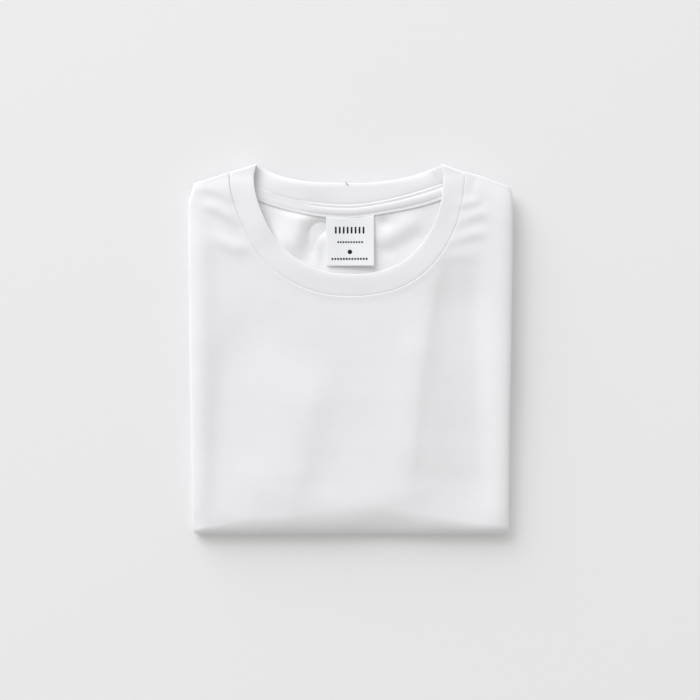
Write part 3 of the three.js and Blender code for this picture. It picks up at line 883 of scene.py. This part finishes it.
def middleRow(run, place, offset):
    # one row of the flat middle below the neck
    position = np.linspace(-1, 1, frontDetail["lowerColumns"] + 1)
    turn = place if run == "bend" else 0.0
    share = place if run == "under" else 0.0
    if run == "top":
        near = rowY(position * packet["roughHalf"], place)
    else:
        near = np.full_like(position, nearAt(run, place))
    x = position * np.where(position < 0, crownRoom(-1, near, share), crownRoom(1, near, share))
    if run == "top":
        y = rowY(x, place)
        return placeOnRun(run, x, y, offset, 0, frontTopRelief(x, y)), np.stack([x, y], axis=-1)
    y = np.full_like(x, underY(share))
    relief = frontRelief(x, bendLine(x, turn)) if run == "bend" else 0
    points = placeOnRun(run, x, y, np.full_like(x, offset), turn, relief)
    return points, np.stack([x, clothBelow(run, y, turn)], axis=-1)


def besideNeck(edge):
    # points in plan between the collar, the side folds and the first straight row
    detail = frontDetail
    line, normal, radius, _ = edge
    start = line - normal * radius[:, None]
    neck = slice(detail["shoulderColumns"], detail["shoulderColumns"] + detail["neckColumns"] + 1)
    points = []
    for number, inset in enumerate(detail["seamRows"]):
        row = (start - normal * inset)[neck]
        points.append(row if number < detail["denseRows"] else row[::2])
    xs = np.arange(*detail["fieldX"], detail["pitch"])
    ys = np.arange(*detail["fieldY"], detail["pitch"])
    gridX, gridY = np.meshgrid(xs, ys)
    gridX = gridX + (np.arange(len(ys)) % 2)[:, None] * detail["pitch"] / 2
    seam = neckline["seam"]
    across = np.abs(gridX - seam["middle"]) / seam["halfWidth"]
    power = np.where(gridX < seam["middle"], neckline["leftPower"], neckline["rightPower"])
    neckY = seam["top"] - seam["drop"] * np.maximum(1 - across ** power, 0) ** 0.5
    outside = (across > 1) | (gridY < neckY)
    clear = seamDistance(gridX, gridY) > packet["neckRoll"] + detail["seamRows"][-1] + detail["pitch"] * 0.7
    points.append(np.stack([gridX[outside & clear], gridY[outside & clear]], axis=-1))
    points = np.concatenate(points)
    x, y = points[:, 0], points[:, 1]
    margin = detail["pitch"] * 0.5
    keep = (y < rowY(x, 0) - margin) & (y > rowY(x, detail["split"]) + margin)
    keep &= (x > -crownRoom(-1, y) + margin) & (x < crownRoom(1, y) - margin)
    return points[keep]


def frontPoints(offset, edge, loose):
    # every point of one face of the front, block after block, and where it lies on the cloth
    detail = frontDetail
    line, normal, radius, turn = edge
    points, uv = [], []

    def addRow(left, middle, right):
        # the left side fold from outside in, the middle, and the right side fold
        points.append(np.concatenate([left[0][::-1], middle[0], right[0]]))
        uv.append(np.concatenate([left[1][::-1], middle[1], right[1]]))

    for i in range(detail["rollRows"], -1, -1):
        rolled = i / detail["rollRows"]
        angle = turn * rolled
        inwards = radius - (radius - offset) * squareSin(angle, packet["rollSquareness"])
        plan = line - normal * inwards[:, None]
        depth = radius - (radius - offset) * squareCos(angle, packet["rollSquareness"])
        start = line - normal * radius[:, None]
        relief = frontTopRelief(start[:, 0], start[:, 1])
        middle = placeOnRun("top", plan[:, 0], plan[:, 1], depth, 0, relief)
        left, right = (sideColumn(side, "top", 0.0, offset, rolled) for side in (-1, 1))
        addRow(left, (middle, start + normal * (radius * angle)[:, None]), right)
    for i in range(1, detail["upperRows"]):
        place = detail["split"] * i / detail["upperRows"]
        for side in (-1, 1):
            sidePoints, sideUv = sideColumn(side, "top", place, offset)
            near = rowY(side * crownRoom(side, packet["shoulderEndY"]), place)
            edgeX = np.array([float(side * crownRoom(side, near))])
            edgeY = rowY(edgeX, place)
            crown = placeOnRun("top", edgeX, edgeY, offset, 0, frontTopRelief(edgeX, edgeY))
            points.append(np.concatenate([crown, sidePoints]))
            uv.append(np.concatenate([np.stack([edgeX, edgeY], axis=-1), sideUv]))
    x, y = loose[:, 0], loose[:, 1]
    points.append(placeOnRun("top", x, y, offset, 0, frontTopRelief(x, y)))
    uv.append(loose)
    for run, place in lowerStations():
        left, right = (sideColumn(side, run, place, offset) for side in (-1, 1))
        addRow(left, middleRow(run, place, offset), right)
    return np.concatenate(points), np.concatenate(uv)


def lowerStations():
    detail = frontDetail
    stations = [("top", float(share)) for share in np.linspace(detail["split"], 1, detail["lowerRows"] + 1)]
    stations += [("bend", math.pi * i / detail["bendRows"]) for i in range(1, detail["bendRows"])]
    return stations + [("under", i / detail["underRows"]) for i in range(detail["underRows"] + 1)]


def frontFaces(edge, loose, plan):
    detail = frontDetail
    sideCount = detail["curlSteps"] + detail["lipSteps"]
    topCount = len(edge[0])
    width = topCount + 2 * sideCount
    roll = np.arange((detail["rollRows"] + 1) * width).reshape(-1, width)
    nextIndex = roll.size
    upperCount = detail["upperRows"] - 1
    sides = nextIndex + np.arange(upperCount * 2 * (sideCount + 1)).reshape(upperCount, 2, sideCount + 1)
    nextIndex += sides.size
    looseIndex = nextIndex + np.arange(len(loose))
    nextIndex += len(loose)
    lowerWidth = detail["lowerColumns"] + 1 + 2 * sideCount
    lowerRows = len(lowerStations())
    lower = nextIndex + np.arange(lowerRows * lowerWidth).reshape(lowerRows, lowerWidth)
    leftColumns = np.concatenate([roll[-1:, :sideCount + 1], sides[:, 0, ::-1], lower[:1, :sideCount + 1]])
    rightColumns = np.concatenate([roll[-1:, -sideCount - 1:], sides[:, 1, :], lower[:1, -sideCount - 1:]])
    faces = []
    for block in (roll, leftColumns, rightColumns, lower):
        faces += gridFaces(block).tolist()
    loop = list(roll[-1, sideCount:width - sideCount]) + list(rightColumns[1:-1, 0])
    loop += list(lower[0, sideCount:lowerWidth - sideCount][::-1]) + list(leftColumns[1:-1, -1][::-1])
    loop = loop[::-1]
    known = np.array(loop + list(looseIndex))
    flat = [Vector((float(px), float(py))) for px, py in plan[known]]
    made = delaunay_2d_cdt(flat, [], [list(range(len(loop)))], 1, 1e-6)
    original = [known[group[0]] for group in made[3]]
    faces += [[int(original[i]) for i in face] for face in made[2]]
    return faces


def buildFront():
    edge = frontEdgeLine()
    loose = besideNeck(edge)
    outer, uv = frontPoints(0.0, edge, loose)
    inner, _ = frontPoints(packet["wall"], edge, loose)
    faces = frontFaces(edge, loose, outer[:, :2])
    return clothShell("front_cloth", outer, inner, faces, uv, jersey)


front = buildFront()
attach(front, "root")
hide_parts("front_body")
print("front made, triangles:", sum(len(p.vertices) - 2 for p in front.data.polygons))


# Back, seen inside the neck

backDetail = {
    "columns": 150,
    "rollRows": 6,
    "rows": 90,
    "half": 125.6,
    "endY": 12,
    "rollStart": math.radians(93),
    "seamTuck": 0.6,  # it goes in this far under the collar
    "depth": 1.2,  # of its inside below the roll's outer face
    "creaseFade": (30, 60),  # creases die out down here, and within this of the collar
    "creaseClear": (8.5, 15),
    "liftDepth": (2.2, 2.8),  # only what lies this deep is lifted or sinks
}
backFolds = table(
    "fromX fromY toX toY bow height left right fade",
    (-40, 112, -46, 78, -2, 2.23, 18, 8, 10),
    (-20, 104, -33, 74, -4, -2.24, 7, 6, 8),
    (-34, 95, -19, 97, 0, -1.32, 4, 7, 5),
    (-24, 86, -21, 68, 0, -1.57, 4, 4, 8),
    (24, 105, 30, 99, 0, -1.84, 5, 5, 6),
    (25, 86, 54, 105, 0, 1.32, 8, 8, 9),
    (26, 76, 58, 92, 0, -0.64, 6, 7, 9),
    (20, 84, 30, 77, 0, -0.87, 5, 5, 5),
)


def backFace(offset):
    detail = backDetail
    x = np.linspace(-detail["half"], detail["half"], detail["columns"] + 1)
    seam = neckline["seam"]
    left, right = seam["middle"] - seam["halfWidth"], seam["middle"] + seam["halfWidth"]
    onNeck = smoothStep(x, left - 1, left + 1) * (1 - smoothStep(x, right - 1, right + 1))
    start = np.where(onNeck > 0.5, backCurveY(backSeam, x) - detail["seamTuck"], shoulderY(x))
    roll = packet["shoulderRoll"]
    grid = []
    for j in range(detail["rollRows"] + detail["rows"] + 1):
        rolled = min(j / detail["rollRows"], 1)
        turn = detail["rollStart"] + (math.pi - detail["rollStart"]) * rolled
        turn = turn * (1 - onNeck) + math.pi * onNeck
        away = squareSin(turn, packet["rollSquareness"])
        y = start - roll + (roll - offset) * away + onNeck * roll * (1 - rolled)
        share = max(j - detail["rollRows"], 0) / detail["rows"]
        y = y * (1 - share) + detail["endY"] * share
        depth = roll - (roll - offset) * squareCos(turn, packet["rollSquareness"])
        inNeck = smoothStep(y, *detail["creaseFade"])
        inNeck = inNeck * smoothStep(backCurveY(backSeam, x) - y, *detail["creaseClear"])
        lift = foldHeights(backFolds, x, y) * inNeck + foldHeights(insideFolds, x, y)
        height = topHeight(x, y) + lift * smoothStep(depth, *detail["liftDepth"])
        grid.append(np.stack([x, y, height - depth], axis=-1))
    return np.array(grid)


def buildBack():
    # the inside of the cloth faces up here, so that face is the shell's outer one
    inside = backFace(backDetail["depth"])
    outside = backFace(backDetail["depth"] - packet["wall"])
    return gridShell("back_cloth", inside, outside, inside[..., :2], jersey)


back = buildBack()
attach(back, "root")
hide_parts("back_body")
print("back made")


# Collar

collar = {
    "thickness": 1.5,
    "thinnest": 0.55,  # share of the thickness that is left at the seam
    "shoulderTuck": 1.6,  # the seam goes under the shoulder's edge
    "flush": 0.52,  # how much the seam is pressed down at the left of the back, and over what share
    "flushSpread": 0.16,
    "frontStations": 300,
    "turnStations": 14,
    "easeStations": 5,
    "backStations": 300,
    "sectionPoints": 36,
    "join": ((65.7, 145.3), (69.1, 139.4)),  # where the two ends of the band are sewn together
    "squareness": 5,  # of the band's section
    "tuck": 0.07,  # share of the width that goes in under the front's edge
    "frontDepth": table(  # depth of the band's face, from the seam to the free edge
        "at depth",
        (-0.07, 1.1),
        (0.0, 0.88),
        (0.05, 0.6),
        (0.2, 0.4),
        (0.45, 0.3),
        (0.8, 0.25),
        (1.0, 0.35),
    ),
    "backDepth": table(
        "at depth",
        (-0.07, 2.9),
        (0.0, 2.7),
        (0.12, 2.2),
        (0.45, 1.9),
        (0.75, 1.8),
        (1.0, 2.3),
    ),
}
# the band's own soft lifts and hollows, and one crease at its right end
collarFolds = table(
    "fromX fromY toX toY bow height left right fade",
    (-73, 138, -65, 92, 2, 1.22, 19, 10, 14),
    (-50, 72, 20, 58, -4, 0.65, 9, 9, 20),
    (56, 92, 72, 134, 0, 0.93, 9, 9, 16),
)
backRibFolds = table(
    "fromX fromY toX toY bow height left right fade",
    (-82, 150, -76, 125, 0, -1.43, 9, 9, 10),
    (-62, 138, -20, 131, 0, 0.62, 7, 6, 14),
    (-20, 127, 44, 133, -3, -0.57, 5, 6, 16),
    (73, 152, 76, 128, 0, -1.71, 6, 6, 8),
)


def collarStations():
    # seam and free edge in plan, and how far the band has turned over, station by station round the ring
    detail = collar
    seamFront = evenPoints(necklinePoints(neckline["seam"], neckAngles), detail["frontStations"])
    edgeFront = evenPoints(necklinePoints(neckline["edge"], neckAngles), detail["frontStations"])
    leftX, rightX = seamFront[0, 0], seamFront[-1, 0]
    seamTop = shoulderY(leftX) - detail["shoulderTuck"]
    leftFold = (np.array([leftX, seamTop]), np.array([neckline["foldLeft"], neckline["foldY"]]))
    rightFold = (np.array([rightX, seamTop]), np.array([neckline["foldRight"], neckline["foldY"]]))
    stations = [(seamFront[i], edgeFront[i], 0.0) for i in range(1, detail["frontStations"] - 1)]

    def ease(first, second):
        for i in range(1, detail["easeStations"]):
            share = i / detail["easeStations"]
            seam, edge = (a * (1 - share) + b * share for a, b in zip(first, second))
            stations.append((seam, edge, 0.0))

    begin, finish = stations[0][:2], stations[-1][:2]
    ease(finish, rightFold)
    stations += [(*rightFold, turn) for turn in np.linspace(0, math.pi, detail["turnStations"])]
    for share in np.arange(1, detail["backStations"]) / detail["backStations"]:
        seamX = rightX + (leftX - rightX) * share
        edgeX = neckline["foldRight"] + (neckline["foldLeft"] - neckline["foldRight"]) * share
        seam = np.array([seamX, backCurveY(backSeam, seamX)])
        stations.append((seam, np.array([edgeX, backCurveY(backRim, edgeX)]), math.pi))
    stations += [(*leftFold, turn) for turn in np.linspace(math.pi, 0, detail["turnStations"])]
    ease(leftFold, begin)
    return tuple(np.array(column) for column in zip(*stations))


def buildCollar():
    detail = collar
    seams, edges, turns = collarStations()
    angle = np.linspace(0, 2 * math.pi, detail["sectionPoints"], endpoint=False)
    alongBand = squareCos(angle, detail["squareness"]) / 2 + 0.5
    alongBand = alongBand * (1 + detail["tuck"]) - detail["tuck"]
    outOfBand = squareSin(angle, detail["squareness"]) * detail["thickness"] / 2
    thin = detail["thinnest"] + (1 - detail["thinnest"]) * smoothStep(alongBand, -0.05, 0.12)
    half = detail["thickness"] / 2 * thin
    frontMiddle = smoothColumn(detail["frontDepth"], "at", "depth", alongBand) + half
    backMiddle = smoothColumn(detail["backDepth"], "at", "depth", alongBand) + half
    flush = detail["flush"] * np.exp(-((alongBand / detail["flushSpread"]) ** 2))
    plan = seams[:, None, :] + (edges - seams)[:, None, :] * alongBand[None, :, None]
    x, planY = plan[..., 0], plan[..., 1]
    isFront = (1 + np.cos(turns))[:, None] / 2
    out = ((backMiddle - frontMiddle) / 2 + outOfBand * thin)[None, :]
    y = planY + out * np.sin(turns)[:, None]
    lift = foldHeights(collarFolds, x, planY) * isFront
    lift = lift + foldHeights(backRibFolds + insideFolds, x, planY) * (1 - isFront)
    lift = lift + flush[None, :] * flatLeft(x) * (1 - isFront)
    height = topHeight(x, y) - (frontMiddle + backMiddle)[None, :] / 2 + out * np.cos(turns)[:, None] + lift
    rings = np.stack([x, y, height], axis=-1)
    around = runningLength((seams + edges) / 2, 0.15)
    width = np.linalg.norm(edges - seams, axis=1)
    uv = crossed(around, alongBand)
    uv[..., 1] *= width[:, None]
    return sweptBand("collar_rib", rings, uv, rib, closed=True), around[-1], width.mean()


collarPiece, collarRound, collarWidth = buildCollar()
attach(collarPiece, "root")
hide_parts("neck_rib")
print("collar made, round and width in mm:", round(float(collarRound), 1), round(float(collarWidth), 1))


# Neck tape and its two rows of stitches

neckTape = {
    "width": 10.8,
    "widerRight": 2.2,  # wider by this from one place to another
    "wideFrom": 22,
    "wideTo": 66,
    "reach": 84,
    "stations": 330,
    "gap": -0.7,  # it covers the seam
    "baseDepth": 2.75,  # underside of the tape
    "edgeAt": 1.012,  # share of the width at which the lower edge stands out, in plan and on the cloth
    "edgeCloth": 1.03,
    "profile": table(  # share of the width from the collar down, and height of the tape's face
        "at high",
        (0.0, 0.75),
        (0.08, 0.95),
        (0.17, 0.7),
        (0.35, 1.3),
        (0.55, 1.35),
        (0.72, 1.0),
        (0.82, 0.55),
        (0.91, 0.85),
        (1.0, 0.6),
    ),
    "profileLeft": table(
        "at high",
        (0.0, 0.5),
        (0.08, 0.55),
        (0.35, 0.6),
        (0.72, 0.7),
        (0.82, 0.6),
        (0.91, 0.75),
        (1.0, 0.6),
    ),
    "profilePoints": 22,
}


def tapeTop(share, x=0.0):
    plain = smoothColumn(neckTape["profile"], "at", "high", share)
    flat = smoothColumn(neckTape["profileLeft"], "at", "high", share)
    return plain + (flat - plain) * flatLeft(x)


def tapeWidth(x):
    wider = smoothStep(x, neckTape["wideFrom"], neckTape["wideTo"])
    return neckTape["width"] + neckTape["widerRight"] * wider


def tapePoint(x, share, height):
    y = backCurveY(backSeam, x) - neckTape["gap"] - tapeWidth(x) * share
    base = topHeight(x, y) + foldHeights(insideFolds, x, y) - neckTape["baseDepth"]
    return np.stack([x, y, base + height], axis=-1)


def buildTape():
    detail = neckTape
    x = backSeam["middle"] + np.linspace(detail["reach"], -detail["reach"], detail["stations"])
    share = np.linspace(0, 1, detail["profilePoints"])
    under = share[::-1][::3]
    upper = [tapePoint(x, np.full_like(x, s), tapeTop(s, x)) for s in share]
    side = [tapePoint(x, np.full_like(x, detail["edgeAt"]), tapeTop(1.0) * 0.5)]
    lower = [tapePoint(x, np.full_like(x, s), 0.0) for s in under]
    rings = np.stack(upper + side + lower, axis=1)
    across = np.concatenate([share, [detail["edgeCloth"]], under]) * detail["width"]
    return sweptBand("neck_tape_cloth", rings, crossed(x, across), tape, closed=False)


# a stitch's own form, and the rows of stitches in millimetres
threadForm = {
    "segments": 6,
    "sides": 6,
    "arch": 0.35,  # of the thread's width
    "endShare": 0.55,  # it is thinner where it goes in
    "flatness": 0.8,
    "unevenness": 0.06,  # of the pitch
    "turnPerStitch": 2.3,  # in the sine that spreads the unevenness
    "firstStart": 0.25,  # of the pitch
}
tapeStitch = dict(length=1.9, gap=0.7, width=0.42, sink=0.15)
joinStitch = dict(length=1.6, gap=0.25, width=0.6, sink=0.1)
looseEnd = dict(length=4.4, gap=0.6, width=1.0, sink=0.1)
hemStitch = dict(length=2.4, gap=0.7, width=0.45, sink=0.1)
threadLift = 0.05  # of the stitches above the tape
joinLift = 0.3


def stitchRow(name, path, up, stitch, material):
    # separate short stitches along a path: small arched threads that dip into the cloth at their ends
    along = runningLength(path)
    pitch = stitch["length"] + stitch["gap"]
    arch = np.sin(np.linspace(0, math.pi, threadForm["segments"]))
    rise = arch * (stitch["width"] * threadForm["arch"] + stitch["sink"]) - stitch["sink"]
    thick = stitch["width"] / 2 * (threadForm["endShare"] + (1 - threadForm["endShare"]) * arch)
    angle = 2 * math.pi * np.arange(threadForm["sides"]) / threadForm["sides"]
    lift = np.array([0.0, 0.0, up])
    points, faces, uv = [], [], []
    for k in range(int(along[-1] // pitch)):
        uneven = threadForm["unevenness"] * math.sin(k * threadForm["turnPerStitch"])
        start = (k + threadForm["firstStart"] + uneven) * pitch
        at = start + np.linspace(0, stitch["length"], threadForm["segments"])
        centre = np.stack([np.interp(at, along, path[:, m]) for m in range(3)], axis=-1)
        aside = np.cross(lift, unitRows(np.gradient(centre, axis=0)))
        centre = centre + lift * rise[:, None]
        upwards = lift * np.sin(angle)[:, None] * threadForm["flatness"]
        around = aside[:, None, :] * np.cos(angle)[:, None] + upwards
        index = k * len(at) * len(angle) + np.arange(len(at) * len(angle)).reshape(len(at), -1)
        points.append((centre[:, None, :] + around * thick[:, None, None]).reshape(-1, 3))
        uv.append(crossed(at, angle * stitch["width"] / 2).reshape(-1, 2))
        faces += gridFaces(np.concatenate([index, index[:, :1]], axis=1)).tolist()
        faces += [index[0].tolist(), index[-1][::-1].tolist()]
    return makeObject(name, np.concatenate(points), faces, np.concatenate(uv), material)


tapePiece = buildTape()
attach(tapePiece, "root")
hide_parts("neck_tape")


def tapeStitches(name, share, left):
    x = np.linspace(left, backSeam["middle"] + neckTape["reach"] - 2, 500)
    path = tapePoint(x, np.full_like(x, share), tapeTop(share, x) + threadLift)
    row = stitchRow(name, path, 1.0, tapeStitch, thread)
    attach(row, "root")
    return row


upperStitches = tapeStitches("tape_stitches_upper", 0.15, -34)
lowerStitches = tapeStitches("tape_stitches_lower", 0.83, -84)
print("tape and stitches made")


# The collar's closing seam, and one thread end that sticks out of the back's rib

looseEndPath = table(
    "x y depth",
    (-5.0, 137.4, 2.0),
    (-4.2, 135.9, 1.8),
    (-3.3, 134.3, 1.6),
    (-2.4, 133.3, 1.5),
    (-1.2, 133.0, 1.7),
)


def joinPath():
    # a line on the face of the collar across the back
    x, y = (np.linspace(start, end, 20) for start, end in zip(*collar["join"]))
    low, high = backCurveY(backSeam, x), backCurveY(backRim, x)
    depth = smoothColumn(collar["backDepth"], "at", "depth", (y - low) / (high - low))
    height = topHeight(x, y) - depth + foldHeights(backRibFolds + insideFolds, x, y)
    return np.stack([x, y, height + joinLift], axis=-1)


def loosePath():
    x, y, depth = (np.array([row[column] for row in looseEndPath]) for column in ("x", "y", "depth"))
    return np.stack([x, y, topHeight(x, y) - depth], axis=-1)


joinStitches = stitchRow("collar_join_stitches", joinPath(), 1.0, joinStitch, thread)
endPiece = stitchRow("loose_thread", loosePath(), 1.0, looseEnd, threadEndPaintedShade)
for piece in (joinStitches, endPiece):
    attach(piece, "root")
print("collar's seam and thread end made")


# Label

label = {
    "left": -19.5,
    "right": 19.1,
    "bottom": 67.2,
    "columns": 44,
    "rows": 48,
    "wall": 0.35,
    "overBack": 0.9,  # height over the back's inside
    "liftRight": 1.6,
    "liftBottom": 1.5,
    "wave": 0.12,
    "underTape": 0.3,
    "markRise": 0.05,
    "markSink": 0.12,
    "barSquareness": 5.714,  # of the marks; a single one is round
}
# Generic woven marks, no lettering: a row for each line of them. Widths and heights in millimetres.
labelMarks = table(
    "y high pieces wide gap x",
    (96.2, 5.6, 8, 1.5, 1.7, -0.7),
    (86.5, 1.5, 10, 1.4, 0.75, -0.3),
    (78.6, 3.7, 1, 3.7, 0.0, -0.5),
    (72.9, 1.7, 13, 1.5, 0.8, -0.8),
)


def labelTop(x):
    return backCurveY(backSeam, x) - neckTape["gap"] - neckTape["width"]


def labelPoint(x, y, height):
    across = (x - label["left"]) / (label["right"] - label["left"])
    top = labelTop(x)
    down = np.clip((top - y) / (top - label["bottom"]), 0, 1)
    lift = label["liftRight"] * across ** 2 * down ** 0.8
    lift = lift + label["liftBottom"] * down ** 2.5 * (0.4 + 0.6 * across)
    wave = label["wave"] * np.sin(across * 7 + down * 3)
    z = topHeight(x, y) - packet["backInside"] + label["overBack"] + lift + wave + height
    return np.stack([x, y, z], axis=-1)


def buildLabel():
    across = np.linspace(label["left"], label["right"], label["columns"])
    x, share = np.meshgrid(across, np.linspace(0, 1, label["rows"]))
    y = (labelTop(x) + label["underTape"]) * (1 - share) + label["bottom"] * share
    outer = labelPoint(x, y, 0.0)
    inner = labelPoint(x, y, -label["wall"])
    return gridShell("label_ribbon", outer, inner, np.stack([x, y], axis=-1), ribbon)


def buildLabelMarks():
    points, faces, uv = [], [], []
    angle = np.linspace(0, 2 * math.pi, 20, endpoint=False)
    count = len(angle)
    for mark in labelMarks:
        pitch = mark["wide"] + mark["gap"]
        squareness = 2 if mark["pieces"] == 1 else label["barSquareness"]
        for k in range(mark["pieces"]):
            centreX = mark["x"] + (k - (mark["pieces"] - 1) / 2) * pitch
            x = centreX + mark["wide"] / 2 * squareCos(angle, squareness)
            y = mark["y"] + mark["high"] / 2 * squareSin(angle, squareness)
            rings = len(points) * count + np.arange(2 * count).reshape(2, count)
            points += [labelPoint(x, y, label["markRise"]), labelPoint(x, y, -label["markSink"])]
            uv += [np.stack([x, y], axis=-1)] * 2
            faces += [rings[0].tolist(), rings[1][::-1].tolist()]
            faces += gridFaces(np.concatenate([rings, rings[:, :1]], axis=1)).tolist()
    return makeObject("label_marks", np.concatenate(points), faces, np.concatenate(uv), ink)


labelPiece = buildLabel()
labelMarksPiece = buildLabelMarks()
for piece in (labelPiece, labelMarksPiece):
    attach(piece, "root")
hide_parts("size_label")
print("label made")


# Sleeves in the slit, and the hidden layers

sleeves = {
    "inner": 5,
    "outer": 124.2,
    "top": 117,
    "bottom": -16,
    "cuffTaper": 6,
    "plies": 4,
    "groove": 0.7,
    "clear": 0.3,
    "columns": 40,
    "rows": 48,
}
hidden = {
    "plies": 4,
    "groove": 1.0,
    "clear": 1.9,
    "sideGap": 0.3,
    "lipStep": 1.5,
    "hemStep": 2,
    "endNear": 135.2,  # where the section is taken at the shoulders and on the bottom fold
    "bendNear": -150,
    "underBack": (-22, -4),  # from here on they lie under the back's inside
    "shoulderClear": 7,
    "rimClear": 4,
    "columns": 40,
    "topRows": 50,
    "bendRows": 12,
    "underRows": 30,
}


def plyGroove(plies, share, depth):
    # how far the edge of a stack of plies sinks in between two of them
    return depth * (1 - np.sqrt(np.maximum(1 - np.cos(math.pi * plies * share) ** 2, 0)))


def blockSolid(name, points, material):
    # levels, rows, columns of points, joined over the six faces of the block
    index = np.arange(points[..., 0].size).reshape(points.shape[:3])
    faces = [gridFaces(index[0]), gridFaces(index[-1], flip=True)]
    faces += [gridFaces(index[:, 0, :], flip=True), gridFaces(index[:, -1, :])]
    faces += [gridFaces(index[:, :, 0]), gridFaces(index[:, :, -1], flip=True)]
    allFaces = np.concatenate(faces)
    used, renumbered = np.unique(allFaces, return_inverse=True)
    flat = points.reshape(-1, 3)[used]
    return makeObject(name, flat, renumbered.reshape(allFaces.shape).tolist(), flat[:, :2], material)


def buildSleeve(name, side):
    detail = sleeves
    steps = (4 * detail["plies"] + 1, detail["rows"], detail["columns"])
    level, down, across = np.meshgrid(*[np.linspace(0, 1, count) for count in steps], indexing="ij")
    groove = plyGroove(detail["plies"], level, detail["groove"])
    taper = detail["cuffTaper"] / 2 * (1 - across if side < 0 else across)
    low, high = sorted((side * detail["inner"], side * detail["outer"]))
    x = (low + groove) * (1 - across) + (high - groove) * across
    y = (detail["top"] - taper - groove) * (1 - down) + (detail["bottom"] + taper + groove) * down
    base = plainHeight(x, y) * sections[1]["lower"] + detail["clear"]
    top = plainHeight(x, y) * sections[1]["upper"] - detail["clear"]
    z = top * (1 - level) + base * level
    return blockSolid(name, np.stack([x, y, z], axis=-1), jersey)


def hiddenEnd(x):
    return np.minimum(shoulderY(x) - hidden["shoulderClear"], backCurveY(backRim, x) - hidden["rimClear"])


def hiddenStations():
    stations = [("top", i / hidden["topRows"]) for i in range(hidden["topRows"] + 1)]
    stations += [("bend", math.pi * i / hidden["bendRows"]) for i in range(1, hidden["bendRows"])]
    return stations + [("under", i / hidden["underRows"]) for i in range(hidden["underRows"] + 1)]


def hiddenNear(run, place):
    # the place along the packet that decides the cross-section of a row
    if run == "bend":
        return float(hidden["bendNear"])
    first, last = (hidden["endNear"], packet["bendY"]) if run == "top" else (packet["bendY"], packet["hemY"])
    return first + (last - first) * place


def hiddenTop(y):
    # depth of the uppermost ply in the upper half
    return hidden["clear"] + packet["backInside"] * smoothStep(y, *hidden["underBack"])


def hiddenSide(top, thick, start, level, groove):
    # the outer and the inner point of one level within a side fold, with their depth
    clear = hidden["clear"]
    depth = top + (thick - clear - top) * level
    rounding = min(abs(depth - thick / 2) / (thick / 2 - clear), 1)
    room = (packet["curlReach"] - clear) * math.sqrt(1 - rounding ** 2)
    return [start + room - groove, start - packet["lipLength"] - hidden["sideGap"]], [depth, depth]


def hiddenRow(run, place, level):
    # one level of one row: two points in each side fold and the middle between them
    detail = hidden
    turn = place if run == "bend" else 0
    share = place if run == "under" else 0
    near = hiddenNear(run, place)
    thick = float(halfThickness(run, near, turn))
    groove = float(plyGroove(detail["plies"], level, detail["groove"]))
    starts = [float(crownRoom(side, near, share)) for side in (-1, 1)]
    sideTop = hiddenTop(near) if run == "top" else detail["clear"]
    (leftX, leftDepth), (rightX, rightDepth) = (
        hiddenSide(sideTop, thick, start, level, groove) for start in starts
    )
    position = np.linspace(-1, 1, detail["columns"] + 1)
    middleX = np.where(position < 0, *starts) - packet["lipLength"] - detail["sideGap"] - detail["lipStep"]
    middleX = middleX * position
    foldY = bendReach(middleX) - packet["halfLength"]
    top = detail["clear"]
    if run == "top":
        middleY = hiddenEnd(middleX) * (1 - place) + foldY * place
        top = hiddenTop(middleY)
        bottom = plainHeight(middleX, middleY) * (1 - sectionAt(middleY, "upper"))
    elif run == "bend":
        bottom = plainHeight(middleX, foldY) * (1 - sectionAt(near, "upper"))
    else:
        bottom = thick * plainHeight(middleX, near) / sectionAt(near, "edge")
    x = np.concatenate([-np.array(leftX), middleX, rightX[::-1]])
    depth = np.concatenate([leftDepth, top + (bottom - top) * level, rightDepth[::-1]])
    if run == "top":
        y = (hiddenEnd(x) - groove) * (1 - place) + (bendReach(x) - packet["halfLength"]) * place
        relief = foldHeights(frontFolds + insideFolds, x, y) * (1 - level)
        return placeOnRun(run, x, y, depth, turn, relief)
    atHem = groove + detail["hemStep"] * level if share == 1 else 0
    relief = foldHeights(frontFolds, x, bendLine(x, turn)) * (1 - level) if run == "bend" else 0
    return placeOnRun(run, x, np.full_like(x, underY(share) - atHem), depth, turn, relief)


def buildHidden():
    levels = np.linspace(0, 1, 6 * hidden["plies"] + 1)
    points = [[hiddenRow(run, place, level) for run, place in hiddenStations()] for level in levels]
    return blockSolid("hidden_plies", np.array(points), jersey)


sleeveLeft = buildSleeve("sleeve_left_cloth", -1)
sleeveRight = buildSleeve("sleeve_right_cloth", 1)
hiddenPiece = buildHidden()
inside = {"sleeve_left": sleeveLeft, "sleeve_right": sleeveRight, "folded_layers": hiddenPiece}
for node, piece in inside.items():
    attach(piece, "root")
    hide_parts(node)
print("sleeves and hidden layers made")


# Twin-needle hem on the underside

hem = {"rows": (17.5, 20.5), "margin": 3, "height": 0.31}


def hemRow(number, inset):
    y = packet["hemY"] - inset
    left, right = (float(crownRoom(side, y, 1.0)) - hem["margin"] for side in (-1, 1))
    x = np.linspace(-left, right, 400)
    path = np.stack([x, np.full_like(x, y), np.full_like(x, hem["height"])], axis=-1)
    row = stitchRow("hem_stitches_%d" % number, path, -1.0, hemStitch, thread)
    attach(row, "root")
    return row


hemStitches = [hemRow(number, inset) for number, inset in enumerate(hem["rows"], 1)]
print("hem made")
